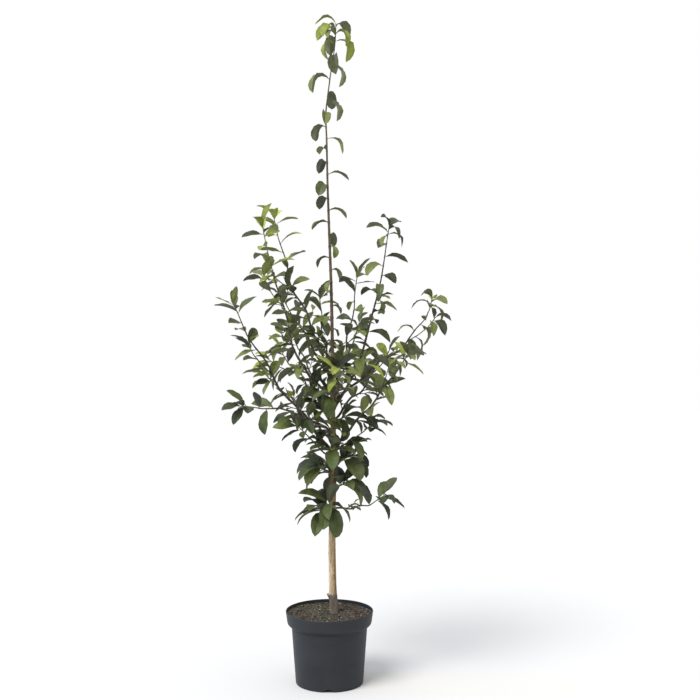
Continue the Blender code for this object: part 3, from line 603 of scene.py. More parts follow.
def small_leaves(leaves):
    """Leaves of the twiglets, clear of all others."""
    crowd = Crowd()
    for _, leaf in leaves:
        crowd.add(leaf)
    found = []
    for number, row in enumerate(twiglets()):
        for index, place in enumerate(leaf_places(row)):
            for attempt in range(TRIES):
                leaf = try_leaf("small %d %d" % (number, index), attempt, row, *place[:-1], 0.3)
                if crowd.free(leaf):
                    crowd.add(leaf)
                    found.append(("small", leaf))
                    break
    return found


def shader_of(material):
    """The Principled shader of a material."""
    return material.node_tree.nodes["Principled BSDF"]


def plain_material(name, colour, roughness, specular=0.5):
    """A Principled material with one colour."""
    made = bpy.data.materials.new(name)
    made.use_nodes = True
    shader = shader_of(made)
    shader.inputs["Base Color"].default_value = colour
    shader.inputs["Roughness"].default_value = roughness
    shader.inputs["Specular IOR Level"].default_value = specular
    made.diffuse_color = colour
    return made


def tone(colour, factor):
    """A colour made lighter or darker."""
    return tuple(channel * factor for channel in tuple(colour)[:3]) + (1.0,)


def add_noise(material, scale, detail, stretch=(1, 1, 1)):
    """A noise texture on Object coordinates, stretched along the axes."""
    tree = material.node_tree
    place = tree.nodes.new("ShaderNodeTexCoord")
    mapping = tree.nodes.new("ShaderNodeMapping")
    mapping.inputs["Scale"].default_value = stretch
    texture = tree.nodes.new("ShaderNodeTexNoise")
    texture.inputs["Scale"].default_value = scale
    texture.inputs["Detail"].default_value = detail
    tree.links.new(place.outputs["Object"], mapping.inputs["Vector"])
    tree.links.new(mapping.outputs["Vector"], texture.inputs["Vector"])
    return texture.outputs["Fac"]


def reckon(material, operation, *values):
    """A Math node on sockets or numbers."""
    tree = material.node_tree
    node = tree.nodes.new("ShaderNodeMath")
    node.operation = operation
    for socket, value in zip(node.inputs, values):
        if isinstance(value, bpy.types.NodeSocket):
            tree.links.new(value, socket)
        else:
            socket.default_value = value
    return node.outputs["Value"]


def ramp(material, factor, stops):
    """A colour that changes with a factor, over (place, colour) stops."""
    tree = material.node_tree
    node = tree.nodes.new("ShaderNodeValToRGB")
    elements = node.color_ramp.elements
    while len(elements) < len(stops):
        elements.new(0.5)
    for element, (place, colour) in zip(elements, stops):
        element.position = place
        element.color = colour
    tree.links.new(factor, node.inputs["Fac"])
    return node.outputs["Color"]


def blend_colours(material, kind, factor, first, second):
    """Two colours blended by a factor, each a socket or a number."""
    tree = material.node_tree
    node = tree.nodes.new("ShaderNodeMix")
    node.data_type = "RGBA"
    node.blend_type = kind
    sockets = [node.inputs[0], node.inputs[6], node.inputs[7]]
    for socket, value in zip(sockets, (factor, first, second)):
        if isinstance(value, bpy.types.NodeSocket):
            tree.links.new(value, socket)
        else:
            socket.default_value = value
    return node.outputs[2]


def colour_by(material, colour):
    """Give a material a worked-out colour."""
    material.node_tree.links.new(colour, shader_of(material).inputs["Base Color"])


def bump_by(material, factor, depth, strength=1.0):
    """Raise a material's surface by a factor."""
    tree = material.node_tree
    bump = tree.nodes.new("ShaderNodeBump")
    bump.inputs["Strength"].default_value = strength
    bump.inputs["Distance"].default_value = depth
    tree.links.new(factor, bump.inputs["Height"])
    tree.links.new(bump.outputs["Normal"], shader_of(material).inputs["Normal"])


def rough_by(material, factor, low, high):
    """Vary a material's roughness by a factor."""
    tree = material.node_tree
    spread = tree.nodes.new("ShaderNodeMapRange")
    spread.inputs["To Min"].default_value = low
    spread.inputs["To Max"].default_value = high
    tree.links.new(factor, spread.inputs["Value"])
    tree.links.new(spread.outputs["Result"], shader_of(material).inputs["Roughness"])


def share_along(material, axis, low, high):
    """How far a spot lies between two places along an axis, from 0 to 1."""
    tree = material.node_tree
    place = tree.nodes.new("ShaderNodeTexCoord")
    axes = tree.nodes.new("ShaderNodeSeparateXYZ")
    spread = tree.nodes.new("ShaderNodeMapRange")
    spread.inputs["From Min"].default_value = low
    spread.inputs["From Max"].default_value = high
    tree.links.new(place.outputs["Object"], axes.inputs["Vector"])
    tree.links.new(axes.outputs[axis], spread.inputs["Value"])
    return spread.outputs["Result"]


def finish_piece(bm, name, materials, nodes=(), sharp=None):
    """Make a bmesh a piece of the tree that rides on the root body."""
    mesh = bpy.data.meshes.new(name)
    bm.to_mesh(mesh)
    bm.free()
    if sharp:
        mesh.shade_smooth()
        mesh.set_sharp_from_angle(angle=math.radians(sharp))
    for material in materials:
        mesh.materials.append(material)
    piece = bpy.data.objects.new(name, mesh)
    bpy.context.scene.collection.objects.link(piece)
    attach(piece, "root")
    if nodes:
        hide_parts(*nodes)
    return piece


def sweep(bm, stations, sides, relief=None):
    """Roll a grid into a tube along stations of (point, direction, radius), and give its corners."""
    rows = len(stations) - 1
    grid = bmesh.ops.create_grid(bm, x_segments=sides, y_segments=rows, size=0.5)["verts"]
    across = stations[0][1].cross(RING_START)
    frames = []
    for _, direction, _ in stations:
        across = (across - direction * across.dot(direction)).normalized()
        frames.append((across.copy(), direction.cross(across)))
    for vert in grid:
        k = round((vert.co.x + 0.5) * sides)
        row = round((vert.co.y + 0.5) * rows)
        angle = math.tau * k / sides
        point, _, radius = stations[row]
        side, up = frames[row]
        outward = side * math.cos(angle) + up * math.sin(angle)
        if relief:
            radius *= relief(outward, point)
        vert.co = point + outward * radius
    bmesh.ops.remove_doubles(bm, verts=grid, dist=1e-6)
    return [vert for vert in grid if vert.is_valid]


def close_tubes(bm):
    """Cap the ends of every tube and turn all faces outwards."""
    bmesh.ops.holes_fill(bm, edges=[edge for edge in bm.edges if edge.is_boundary], sides=0)
    bmesh.ops.recalc_face_normals(bm, faces=bm.faces)


def smooth_stations(route, start, end, step, swell=None):
    """Stations along a route with its corners rounded off."""
    count = max(2, math.ceil((end - start) / step))
    marks = [start + (end - start) * k / count for k in range(count + 1)]
    points = [route.at(mark)[0] for mark in marks]
    for _ in range(3):
        inner = [(before + point * 2 + after) / 4 for before, point, after in zip(points, points[1:], points[2:])]
        points = [points[0]] + inner + [points[-1]]
    stations = []
    for index, mark in enumerate(marks):
        before, after = points[max(0, index - 1)], points[min(count, index + 1)]
        radius = route.at(mark)[2] * (swell(mark) if swell else 1.0)
        stations.append((points[index], (after - before).normalized(), radius))
    return stations


def pot_profile():
    """Radius and height up the outside of the pot, over its lip and down the inside."""
    neck = NECK_HEIGHT
    low_band = RIM_RADIUS - BAND_FLARE
    inner_band = low_band - WALL
    outside = [
        (FOOT_RADIUS - 0.0045, 0.0), (FOOT_RADIUS - 0.0022, 0.0006), (FOOT_RADIUS - 0.0007, 0.0020),
        (FOOT_RADIUS, 0.0045), (NECK_RADIUS, neck - 0.002), (NECK_RADIUS + 0.0022, neck - 0.0006),
        (NECK_RADIUS + 0.006, neck), (low_band - 0.0035, neck + 0.004), (low_band - 0.0010, neck + 0.0075),
        (low_band, neck + 0.012), (RIM_RADIUS - 0.0002, POT_HEIGHT - 0.0045), (RIM_RADIUS, POT_HEIGHT - 0.0030),
        (RIM_RADIUS - 0.0004, POT_HEIGHT - 0.0010), (RIM_RADIUS - 0.0014, POT_HEIGHT),
    ]
    inside = [
        (RIM_RADIUS - WALL, POT_HEIGHT - 0.0005), (RIM_RADIUS - WALL - 0.0006, POT_HEIGHT - 0.0020),
        (inner_band, neck + 0.014), (inner_band - 0.0045, neck + 0.0062),
        (NECK_RADIUS - WALL + 0.004, neck + 0.0026), (NECK_RADIUS - WALL, neck),
        (FOOT_RADIUS - WALL, FLOOR + 0.001), (FOOT_RADIUS - WALL - 0.002, FLOOR), (0.0, FLOOR),
    ]
    return [(0.0, 0.0)] + outside + inside


def spun(profile, steps):
    """A closed shell turned from a profile of (radius, height)."""
    bm = bmesh.new()
    corners = [bm.verts.new((radius, 0.0, height)) for radius, height in profile]
    edges = [bm.edges.new(pair) for pair in zip(corners, corners[1:])]
    bmesh.ops.spin(
        bm, geom=corners + edges, axis=(0, 0, 1), cent=(0, 0, 0), angle=math.tau, steps=steps, use_merge=True,
    )
    bmesh.ops.remove_doubles(bm, verts=bm.verts, dist=1e-6)
    bmesh.ops.dissolve_degenerate(bm, edges=bm.edges, dist=1e-7)
    bmesh.ops.recalc_face_normals(bm, faces=bm.faces)
    return bm


def cut_notches(piece):
    """Cut the drainage arches through the pot's foot."""
    arch = (NOTCH_WIDTH**2 / (8 * NOTCH_HEIGHT)) + NOTCH_HEIGHT / 2
    for index in range(NOTCH_COUNT):
        heading = math.radians(NOTCH_HEADING + 360 / NOTCH_COUNT * index)
        place = Vector((FOOT_RADIUS * math.cos(heading), FOOT_RADIUS * math.sin(heading), NOTCH_HEIGHT - arch))
        lie = Matrix.Rotation(heading, 4, "Z") @ Matrix.Rotation(math.radians(90), 4, "Y")
        bm = bmesh.new()
        bmesh.ops.create_cone(
            bm, cap_ends=True, segments=96, radius1=arch, radius2=arch, depth=0.03,
            matrix=Matrix.Translation(place) @ lie,
        )
        mesh = bpy.data.meshes.new("notch")
        bm.to_mesh(mesh)
        bm.free()
        cutter = bpy.data.objects.new("notch_cutter", mesh)
        bpy.context.scene.collection.objects.link(cutter)
        cut = piece.modifiers.new("notch", "BOOLEAN")
        cut.operation = "DIFFERENCE"
        cut.solver = "EXACT"
        cut.object = cutter
        bpy.context.view_layer.update()
        carved = bpy.data.meshes.new_from_object(piece.evaluated_get(bpy.context.evaluated_depsgraph_get()))
        piece.modifiers.clear()
        piece.data = carved
        bpy.data.objects.remove(cutter, do_unlink=True)


def plastic(name, colour, roughness):
    """Moulded plastic with faint scuffs and a fine grain."""
    made = plain_material(name, colour, roughness, 0.22)
    scuffs = add_noise(made, 7.0, 6.0, (1.0, 1.0, 2.5))
    colour_by(made, ramp(made, scuffs, [(0.35, tone(colour, 0.9)), (0.75, tone(colour, 1.3))]))
    rough_by(made, scuffs, roughness - 0.08, roughness + 0.14)
    bump_by(made, add_noise(made, 900.0, 2.0), 0.00012, 0.35)
    return made


class MEDLAR_OT_pot(bpy.types.Operator):
    """Turn the nursery pot with its rim band and cut the arches in its foot"""

    bl_idname = "medlar.pot"
    bl_label = "Nursery Pot"

    def execute(self, context):
        settings = context.scene.medlar_pot
        bm = spun(pot_profile(), settings.steps)
        # Faces inside the pot above its neck get a much darker copy of the plastic: painted shade on the inner wall.
        for face in bm.faces:
            place = face.calc_center_median()
            inward = place.x * face.normal.x + place.y * face.normal.y < -0.01
            face.material_index = int(inward and place.z > NECK_HEIGHT)
        finishes = [
            plastic("nursery_plastic", settings.colour, settings.roughness),
            plastic("nursery_plastic_inside", tone(settings.colour, 0.35), settings.roughness + 0.1),
        ]
        cut_notches(finish_piece(bm, "nursery_pot", finishes, ["pot"], 50.0))
        return {"FINISHED"}


def soil_height(x, y, relief):
    """The level of the potting mix at a place."""
    radius = math.hypot(x, y)
    level = SOIL_TOP - SOIL_FALL * min(1.0, radius / (RIM_RADIUS - 0.01))
    spot = Vector((x, y, 0.0))
    lumps = noise.noise(spot * 45.0) * 0.5 + noise.noise(spot * 130.0) * 0.35 + noise.noise(spot * 330.0) * 0.30
    calm = min(1.0, max(0.0, (radius - 0.012) / 0.02))
    return level - 0.0005 + lumps * relief * calm


class MEDLAR_OT_soil(bpy.types.Operator):
    """Fill the pot with lumpy potting mix"""

    bl_idname = "medlar.soil"
    bl_label = "Potting Mix"

    def execute(self, context):
        settings = context.scene.medlar_soil
        wall = RIM_RADIUS - WALL - 0.0018
        profile = [(wall * k / SOIL_RINGS, SOIL_TOP) for k in range(SOIL_RINGS + 1)]
        profile += [(wall - 0.001, SOIL_TOP - 0.022), (0.0, SOIL_TOP - 0.022)]
        bm = spun(profile, SOIL_STEPS)
        for vert in bm.verts:
            if vert.co.z > SOIL_TOP - 0.001:
                vert.co.z = soil_height(vert.co.x, vert.co.y, settings.relief)
        made = plain_material("potting_mix", settings.colour, 0.95, 0.1)
        crumbs = add_noise(made, 240.0, 8.0)
        base = settings.colour
        fine = ramp(made, crumbs, [(0.32, tone(base, 0.35)), (0.52, tone(base, 1.0)), (0.74, tone(base, 2.6))])
        patches = ramp(made, add_noise(made, 26.0, 3.0), [
            (0.38, (1.2, 0.95, 0.85, 1.0)), (0.52, (1.0, 1.0, 1.0, 1.0)), (0.66, (0.98, 1.08, 0.85, 1.0)),
        ])
        colour_by(made, blend_colours(made, "MULTIPLY", 0.8, fine, patches))
        bump_by(made, crumbs, 0.0018)
        finish_piece(bm, "potting_mix", [made], ["soil"], 70.0)
        return {"FINISHED"}


# Crumbs on the mix: name, colour, share of them all, size, stretch along one axis
CRUMB_KINDS = (
    ("chips_dark", (0.022, 0.018, 0.015, 1.0), 0.24, 0.0040, (0.8, 1.6)),
    ("chips_brown", (0.078, 0.054, 0.040, 1.0), 0.20, 0.0040, (0.8, 1.8)),
    ("chips_grey", (0.092, 0.087, 0.076, 1.0), 0.26, 0.0034, (0.8, 1.5)),
    ("chips_pale", (0.310, 0.285, 0.240, 1.0), 0.07, 0.0026, (0.8, 1.6)),
    ("chips_straw", (0.160, 0.138, 0.100, 1.0), 0.06, 0.0022, (2.0, 4.0)),
    ("chips_moss", (0.078, 0.084, 0.046, 1.0), 0.18, 0.0032, (0.8, 1.4)),
)
MOSS_SECTOR = (100, 290)  # headings between which moss grows
SOIL_CLEAR = 0.021  # radius round the trunk with no crumbs
NOISE_SEED = 7  # noise_vector takes one from the clock if none is set


class MEDLAR_OT_chips(bpy.types.Operator):
    """Scatter bark chips, straws and moss over the potting mix"""

    bl_idname = "medlar.chips"
    bl_label = "Chips and Moss"

    def execute(self, context):
        settings = context.scene.medlar_soil
        noise.seed_set(NOISE_SEED)
        for name, colour, share, size, stretch in CRUMB_KINDS:
            dice = random.Random(name)
            sector = MOSS_SECTOR if name == "chips_moss" else (0, 360)
            bm = bmesh.new()
            for _ in range(round(settings.crumbs * share)):
                far = (RIM_RADIUS - 0.007) * math.sqrt(dice.random())
                turn = math.radians(dice.uniform(*sector))
                x, y = far * math.cos(turn), far * math.sin(turn)
                if math.hypot(x - STEM_LINE[0][1], y) < SOIL_CLEAR:
                    continue
                grain = size * dice.uniform(0.45, 1.0)
                place = Vector((x, y, soil_height(x, y, settings.relief) + grain * 0.15))
                spin = Matrix.Rotation(dice.uniform(0, math.tau), 4, "Z") @ Matrix.Rotation(dice.uniform(-0.5, 0.5), 4, "Y")
                form = Matrix.Diagonal((dice.uniform(*stretch), dice.uniform(0.5, 1.0), dice.uniform(0.3, 0.6), 1.0))
                made = bmesh.ops.create_icosphere(
                    bm, subdivisions=1, radius=grain, matrix=Matrix.Translation(place) @ spin @ form,
                )
                for vert in made["verts"]:
                    vert.co += noise.noise_vector(vert.co * 400.0) * grain * 0.3
            made = plain_material(name, colour, 0.9, 0.1)
            flecks = add_noise(made, 500.0, 3.0)
            colour_by(made, ramp(made, flecks, [(0.35, tone(colour, 0.6)), (0.65, tone(colour, 1.35))]))
            finish_piece(bm, name, [made], (), 35.0)
        return {"FINISHED"}


# Colours up the trunk: height, colour
TRUNK_TONES = (
    (0.225, (0.345, 0.280, 0.190, 1.0)), (0.296, (0.345, 0.275, 0.182, 1.0)),
    (0.420, (0.345, 0.270, 0.165, 1.0)), (0.600, (0.375, 0.292, 0.168, 1.0)),
    (0.650, (0.220, 0.132, 0.094, 1.0)), (0.710, (0.285, 0.285, 0.140, 1.0)),
    (0.860, (0.270, 0.262, 0.132, 1.0)),
    (0.980, (0.260, 0.165, 0.088, 1.0)), (1.060, (0.190, 0.140, 0.075, 1.0)),
)
STOCK_TONE = (0.118, 0.096, 0.076, 1.0)
TRUNK_SIDES_TONE = (-0.004, 0.024)  # from the left side, lighter and bluer with painted light, to the right side, darker and browner with painted shade
GRAFT_HEIGHT = 0.287  # where the bark of the stock ends
TORN = 0.003  # height over which it thins out
FLAP_HEADING = 196
FLAP_LENGTH = 0.018
FLAP_RISE = 0.004  # of its tip over the rest of the torn edge
STOCK_TOP = 0.279  # up to here the frame's trunk has the stock's thickness
WOOD_FROM = 0.286
# Old knots on the trunk: height, heading, size
KNOTS = (
    (0.352, -60, 0.0016), (0.418, 150, 0.0014), (0.470, -115, 0.0018), (0.523, 20, 0.0015),
    (0.590, -80, 0.0016), (0.345, 70, 0.0015), (0.790, -70, 0.0016), (0.955, -120, 0.0014),
)
KNOT_REACH = 0.009
# What the bark's own layers say of each spot, from 0 to 1
STOCK_LAYER = "stock"  # how far the stock's bark covers it
ROOT_LAYER = "root"  # how far a bough's bark there is still that of the trunk
ROOT_LENGTH = 0.016
FRESH_LAYER = "fresh"  # how far a shoot there is this summer's green growth
FRESH_LENGTH = 0.055  # of that growth, from a shoot's tip
LONG_FRESH = {
    "foliage_left_tall_front": 0.180, "foliage_left_tall_back": 0.090, "foliage_right_wide": 0.120,
    "foliage_leader": 0.120,
}
FRESH_FADE = 1.4  # how fast the green sets in beside a straight fade over that length
FRESH_TONE = (0.165, 0.185, 0.060, 1.0)


def layer_value(material, name):
    """The value of one of the piece's own layers at each spot."""
    node = material.node_tree.nodes.new("ShaderNodeAttribute")
    node.attribute_name = name
    return node.outputs["Fac"]


def tones_by_height(material, tones):
    """Colours that change with the height over the ground."""
    low, high = tones[0][0], tones[-1][0]
    share = share_along(material, "Z", low, high)
    return ramp(material, share, [((height - low) / (high - low), colour) for height, colour in tones])


def trunk_bark():
    """Bark that is grey-brown at the stock, beige with dark streaks above it and olive higher up, with painted light
    on its left side and painted shade on its right.
    """
    made = plain_material("bark", TRUNK_TONES[1][1], 0.8, 0.2)
    base = tones_by_height(made, TRUNK_TONES)
    streaks = add_noise(made, 150.0, 6.0, (1.0, 1.0, 0.10))
    shade = ramp(made, streaks, [
        (0.30, (0.46, 0.40, 0.34, 1.0)), (0.44, (0.86, 0.78, 0.68, 1.0)), (0.54, (1.05, 1.04, 1.02, 1.0)),
        (0.68, (1.45, 1.45, 1.45, 1.0)),
    ])
    cracks = add_noise(made, 520.0, 4.0, (1.0, 1.0, 0.14))
    cracked = ramp(made, cracks, [(0.37, (0.50, 0.43, 0.36, 1.0)), (0.46, (1.0, 1.0, 1.0, 1.0))])
    specks = add_noise(made, 420.0, 2.0, (0.45, 0.45, 1.6))
    specked = ramp(made, specks, [(0.60, (1.0, 1.0, 1.0, 1.0)), (0.68, (0.62, 0.54, 0.46, 1.0))])
    streaked = blend_colours(made, "MULTIPLY", 1.0, base, shade)
    streaked = blend_colours(made, "MULTIPLY", 0.75, streaked, cracked)
    streaked = blend_colours(made, "MULTIPLY", 0.8, streaked, specked)
    # Painted light and shade: the trunk's left side lighter and bluer, its right side darker and browner.
    painted_side_light = ramp(made, share_along(made, "X", *TRUNK_SIDES_TONE), [
        (0.0, (1.42, 1.50, 1.60, 1.0)), (0.35, (1.10, 1.11, 1.12, 1.0)), (0.6, (0.94, 0.89, 0.84, 1.0)),
        (1.0, (0.60, 0.54, 0.48, 1.0)),
    ])
    wood = blend_colours(made, "MULTIPLY", 1.0, streaked, painted_side_light)
    stock = ramp(made, streaks, [(0.30, tone(STOCK_TONE, 0.6)), (0.60, tone(STOCK_TONE, 1.25))])
    colour_by(made, blend_colours(made, "MIX", layer_value(made, STOCK_LAYER), wood, stock))
    rough_by(made, streaks, 0.65, 0.92)
    lumps = add_noise(made, 180.0, 8.0, (1.0, 1.0, 0.35))
    bump_by(made, reckon(made, "ADD", lumps, reckon(made, "MULTIPLY", cracks, 0.6)), 0.0014)
    return made


def young_bark(settings):
    """Dark brown bark of this year's and last year's wood, with pale flecks."""
    made = plain_material("young_bark", settings.young, 0.7, 0.2)
    flecks = add_noise(made, 150.0, 5.0)
    young = ramp(made, flecks, [
        (0.35, tone(settings.young, 0.55)), (0.55, tone(settings.young, 1.0)), (0.70, tone(settings.young, 2.4)),
    ])
    shade = ramp(made, flecks, [(0.35, (0.55, 0.50, 0.45, 1.0)), (0.65, (1.0, 1.0, 1.0, 1.0))])
    old = blend_colours(made, "MULTIPLY", 1.0, tones_by_height(made, TRUNK_TONES), shade)
    fresh = ramp(made, flecks, [(0.35, tone(FRESH_TONE, 0.6)), (0.65, tone(FRESH_TONE, 1.2))])
    grown = blend_colours(made, "MIX", layer_value(made, FRESH_LAYER), young, fresh)
    colour_by(made, blend_colours(made, "MIX", layer_value(made, ROOT_LAYER), grown, old))
    bump_by(made, flecks, 0.0004)
    return made


def stock_at(outward, height):
    """At a spot of the trunk: how far the stock's bark covers it, and how far it is on the flap."""
    facing = max(0.0, outward.dot(compass(FLAP_HEADING, 0))) ** 4
    ragged = noise.noise(outward * 1.7 + Vector((0, 0, 3.0))) * 0.005
    depth = GRAFT_HEIGHT + ragged + FLAP_RISE * facing - height
    covered = min(1.0, max(0.0, depth / TORN))
    return covered, covered * facing * max(0.0, 1.0 - depth / FLAP_LENGTH)


def trunk_relief(settings):
    """Relief of the trunk: long furrows, old knots, and the stock's torn bark round its foot."""
    knots = []
    for height, heading, size in KNOTS:
        knots.append((stem_middle(height) + compass(heading, 0) * between(STEM_TAPER, height), size))

    def relief(outward, point):
        packed = between(STEM_TAPER, point.z)
        below, flap = stock_at(outward, point.z)
        stock, wood = between(STEM_TAPER, min(point.z, STOCK_TOP)), between(STEM_TAPER, max(point.z, WOOD_FROM))
        depth = settings.furrow * (1.0 + 1.8 * below)
        coarse = noise.noise(Vector((outward.x * 2.2, outward.y * 2.2, point.z * 16.0)))
        fine = noise.noise(Vector((outward.x * 5.0, outward.y * 5.0, point.z * 70.0)))
        radius = wood + (stock - wood) * below + flap * settings.flap + (coarse + fine * 0.7) * depth
        for knot, size in knots:
            near = (point + outward * packed - knot).length / KNOT_REACH
            if near < 1.0:
                radius += size * (1.0 - near * near) ** 2
        return radius / packed
    return relief


class MEDLAR_OT_bark(bpy.types.Operator):
    """Cover the trunk with bark in relief, from the stock at its foot to the fork"""

    bl_idname = "medlar.bark"
    bl_label = "Trunk"

    def execute(self, context):
        settings = context.scene.medlar_bark
        bm = bmesh.new()
        base = SOIL_TOP - 0.004
        count = round((TRUNK_TOP - base) / 0.0030)
        stations = []
        for k in range(count + 1):
            height = base + (TRUNK_TOP - base) * k / count
            stations.append((stem_middle(height), Vector((0, 0, 1)), between(STEM_TAPER, height)))
        sweep(bm, stations, settings.sides, trunk_relief(settings))
        close_tubes(bm)
        stock = bm.verts.layers.float.new(STOCK_LAYER)
        for vert in bm.verts:
            outward = vert.co - stem_middle(vert.co.z)
            vert[stock] = stock_at(outward.normalized(), vert.co.z)[0]
        finish_piece(bm, "bark", [trunk_bark()], ["trunk"], 60.0)
        return {"FINISHED"}


COLLAR = 1.6  # a bough's radius where it leaves the trunk beside its own
COLLAR_ROOM = 0.92  # the same, at most, beside the trunk's radius
COLLAR_LENGTH = 0.016


class MEDLAR_OT_boughs(bpy.types.Operator):
    """Grow the bare boughs out of collars on the trunk"""

    bl_idname = "medlar.boughs"
    bl_label = "Boughs"

    def execute(self, context):
        bm = bmesh.new()
        for shoot in SHOOTS:
            route = shoot_route(shoot)
            trunk_radius = between(STEM_TAPER, shoot.height)

            widest = min(COLLAR, COLLAR_ROOM * trunk_radius / shoot.radius)

            def collar(mark, radius=trunk_radius, widest=widest):
                return 1.0 + (widest - 1.0) * max(0.0, 1.0 - max(0.0, mark - radius) / COLLAR_LENGTH) ** 2

            def relief(outward, point):
                return 1.0 + 0.10 * noise.noise(outward * 1.5 + point * 120.0)
            limb = smooth_stations(route, 0.0, route.length * shoot.bare, 0.005, collar)
            sweep(bm, limb, 14, relief)
        close_tubes(bm)
        root = bm.verts.layers.float.new(ROOT_LAYER)
        for vert in bm.verts:
            away = (vert.co - stem_middle(vert.co.z)).length - between(STEM_TAPER, vert.co.z)
            ragged = noise.noise(vert.co * 160.0) * 0.25
            vert[root] = min(1.0, max(0.0, 1.0 - away / ROOT_LENGTH + ragged))
        nodes = ["bough_" + shoot.name for shoot in SHOOTS]
        made = young_bark(context.scene.medlar_bark)
        finish_piece(bm, "boughs", [made], nodes, 60.0)
        return {"FINISHED"}


BUD_LENGTH = 0.0046
BUD_RADIUS = 0.0013
# Colours up the leading shoot: height, colour
LEADER_TONES = (
    (1.060, (0.115, 0.080, 0.048, 1.0)), (1.500, (0.098, 0.072, 0.044, 1.0)),
    (1.850, (0.110, 0.088, 0.048, 1.0)), (2.050, (0.105, 0.120, 0.045, 1.0)),
)


def leader_bark():
    """Bark of the leading shoot, brown below and green at its very tip."""
    made = plain_material("leader_bark", LEADER_TONES[0][1], 0.65, 0.2)
    base = tones_by_height(made, LEADER_TONES)
    flecks = add_noise(made, 160.0, 5.0, (1.0, 1.0, 0.4))
    shade = ramp(made, flecks, [(0.35, (0.6, 0.6, 0.6, 1.0)), (0.65, (1.2, 1.2, 1.2, 1.0))])
    colour_by(made, blend_colours(made, "MULTIPLY", 1.0, base, shade))
    bump_by(made, flecks, 0.0003)
    return made


def freshness(spot, route, length):
    """How far a spot of a shoot is this summer's green growth, by its distance from the tip."""
    away = (spot - route.points[-1]).length
    return min(1.0, max(0.0, FRESH_FADE * (1.0 - away / length)))


def add_bud(bm, route, distance, turn, green):
    """A pointed bud that stands close to its shoot."""
    middle, along, radius = route.at(distance)
    across = along.cross(UPWARD).normalized()
    outward = Quaternion(along, math.radians(turn)) @ across
    lean = (outward * 0.55 + along).normalized()
    place = middle + outward * radius * 0.8 + lean * BUD_LENGTH * 0.3
    lie = lean.to_track_quat("Z", "Y").to_matrix().to_4x4()
    made = bmesh.ops.create_cone(
        bm, cap_ends=True, segments=5, radius1=BUD_RADIUS, radius2=BUD_RADIUS * 0.15, depth=BUD_LENGTH,
        matrix=Matrix.Translation(place) @ lie,
    )
    fresh = bm.verts.layers.float[FRESH_LAYER]
    for vert in made["verts"]:
        vert[fresh] = freshness(vert.co, route, green)


class MEDLAR_OT_twigs(bpy.types.Operator):
    """Grow the leafy shoots, side twigs, spurs and twiglets, with a bud at each leaf"""

    bl_idname = "medlar.twigs"
    bl_label = "Young Shoots"

    def execute(self, context):
        leader, shoots, buds = bmesh.new(), bmesh.new(), bmesh.new()
        fresh = shoots.verts.layers.float.new(FRESH_LAYER)
        buds.verts.layers.float.new(FRESH_LAYER)
        for mass in masses():
            bm = leader if mass.name == "foliage_leader" else shoots
            green = LONG_FRESH.get(mass.name, FRESH_LENGTH)
            for route, start in mass.stems:
                places = [place for row in mass.rows if row.route is route for place in leaf_places(row)]

                def swell(mark):
                    near = min((abs(mark - place[0]) for place in places), default=1.0)
                    return 1.0 + 0.22 * max(0.0, 1.0 - near / 0.005)
                tube = sweep(bm, smooth_stations(route, start - 0.001, route.length, 0.0045, swell), 8)
                if bm is shoots:
                    for vert in tube:
                        vert[fresh] = freshness(vert.co, route, green)
                for place in places:
                    add_bud(buds, route, min(place[0] + 0.003, route.length), place[1], green)
                add_bud(buds, route, route.length - 0.001, 0.0, green)
        for row in twiglets():
            sweep(shoots, smooth_stations(row.route, 0.0, row.route.length, 0.006), 5)
        close_tubes(leader)
        close_tubes(shoots)
        finish_piece(leader, "leading_shoot", [leader_bark()], (), 60.0)
        finish_piece(shoots, "young_shoots", [young_bark(context.scene.medlar_bark)], (), 60.0)
        bud_bark = plain_material("bud_scales", (0.060, 0.034, 0.020, 1.0), 0.6, 0.3)
        scales = add_noise(bud_bark, 900.0, 2.0)
        brown = ramp(bud_bark, scales, [(0.4, (0.035, 0.022, 0.014, 1.0)), (0.6, (0.090, 0.052, 0.030, 1.0))])
        green = ramp(bud_bark, scales, [(0.4, tone(FRESH_TONE, 0.5)), (0.6, tone(FRESH_TONE, 1.1))])
        colour_by(bud_bark, blend_colours(bud_bark, "MIX", layer_value(bud_bark, FRESH_LAYER), brown, green))
        finish_piece(buds, "buds", [bud_bark], (), 45.0)
        return {"FINISHED"}


# Leaf colours: colour above, colour below, roughness
LEAF_TINTS = {
    "deep": ((0.038, 0.050, 0.021, 1.0), (0.052, 0.060, 0.038, 1.0), 0.48),
    "dark": ((0.068, 0.089, 0.028, 1.0), (0.076, 0.086, 0.047, 1.0), 0.50),
    "middle": ((0.122, 0.151, 0.040, 1.0), (0.112, 0.126, 0.062, 1.0), 0.50),
    "light": ((0.208, 0.243, 0.040, 1.0), (0.178, 0.202, 0.056, 1.0), 0.52),
    "bright": ((0.360, 0.415, 0.060, 1.0), (0.305, 0.345, 0.075, 1.0), 0.55),
}
TINT_ORDER = ("deep", "dark", "middle", "light", "bright")
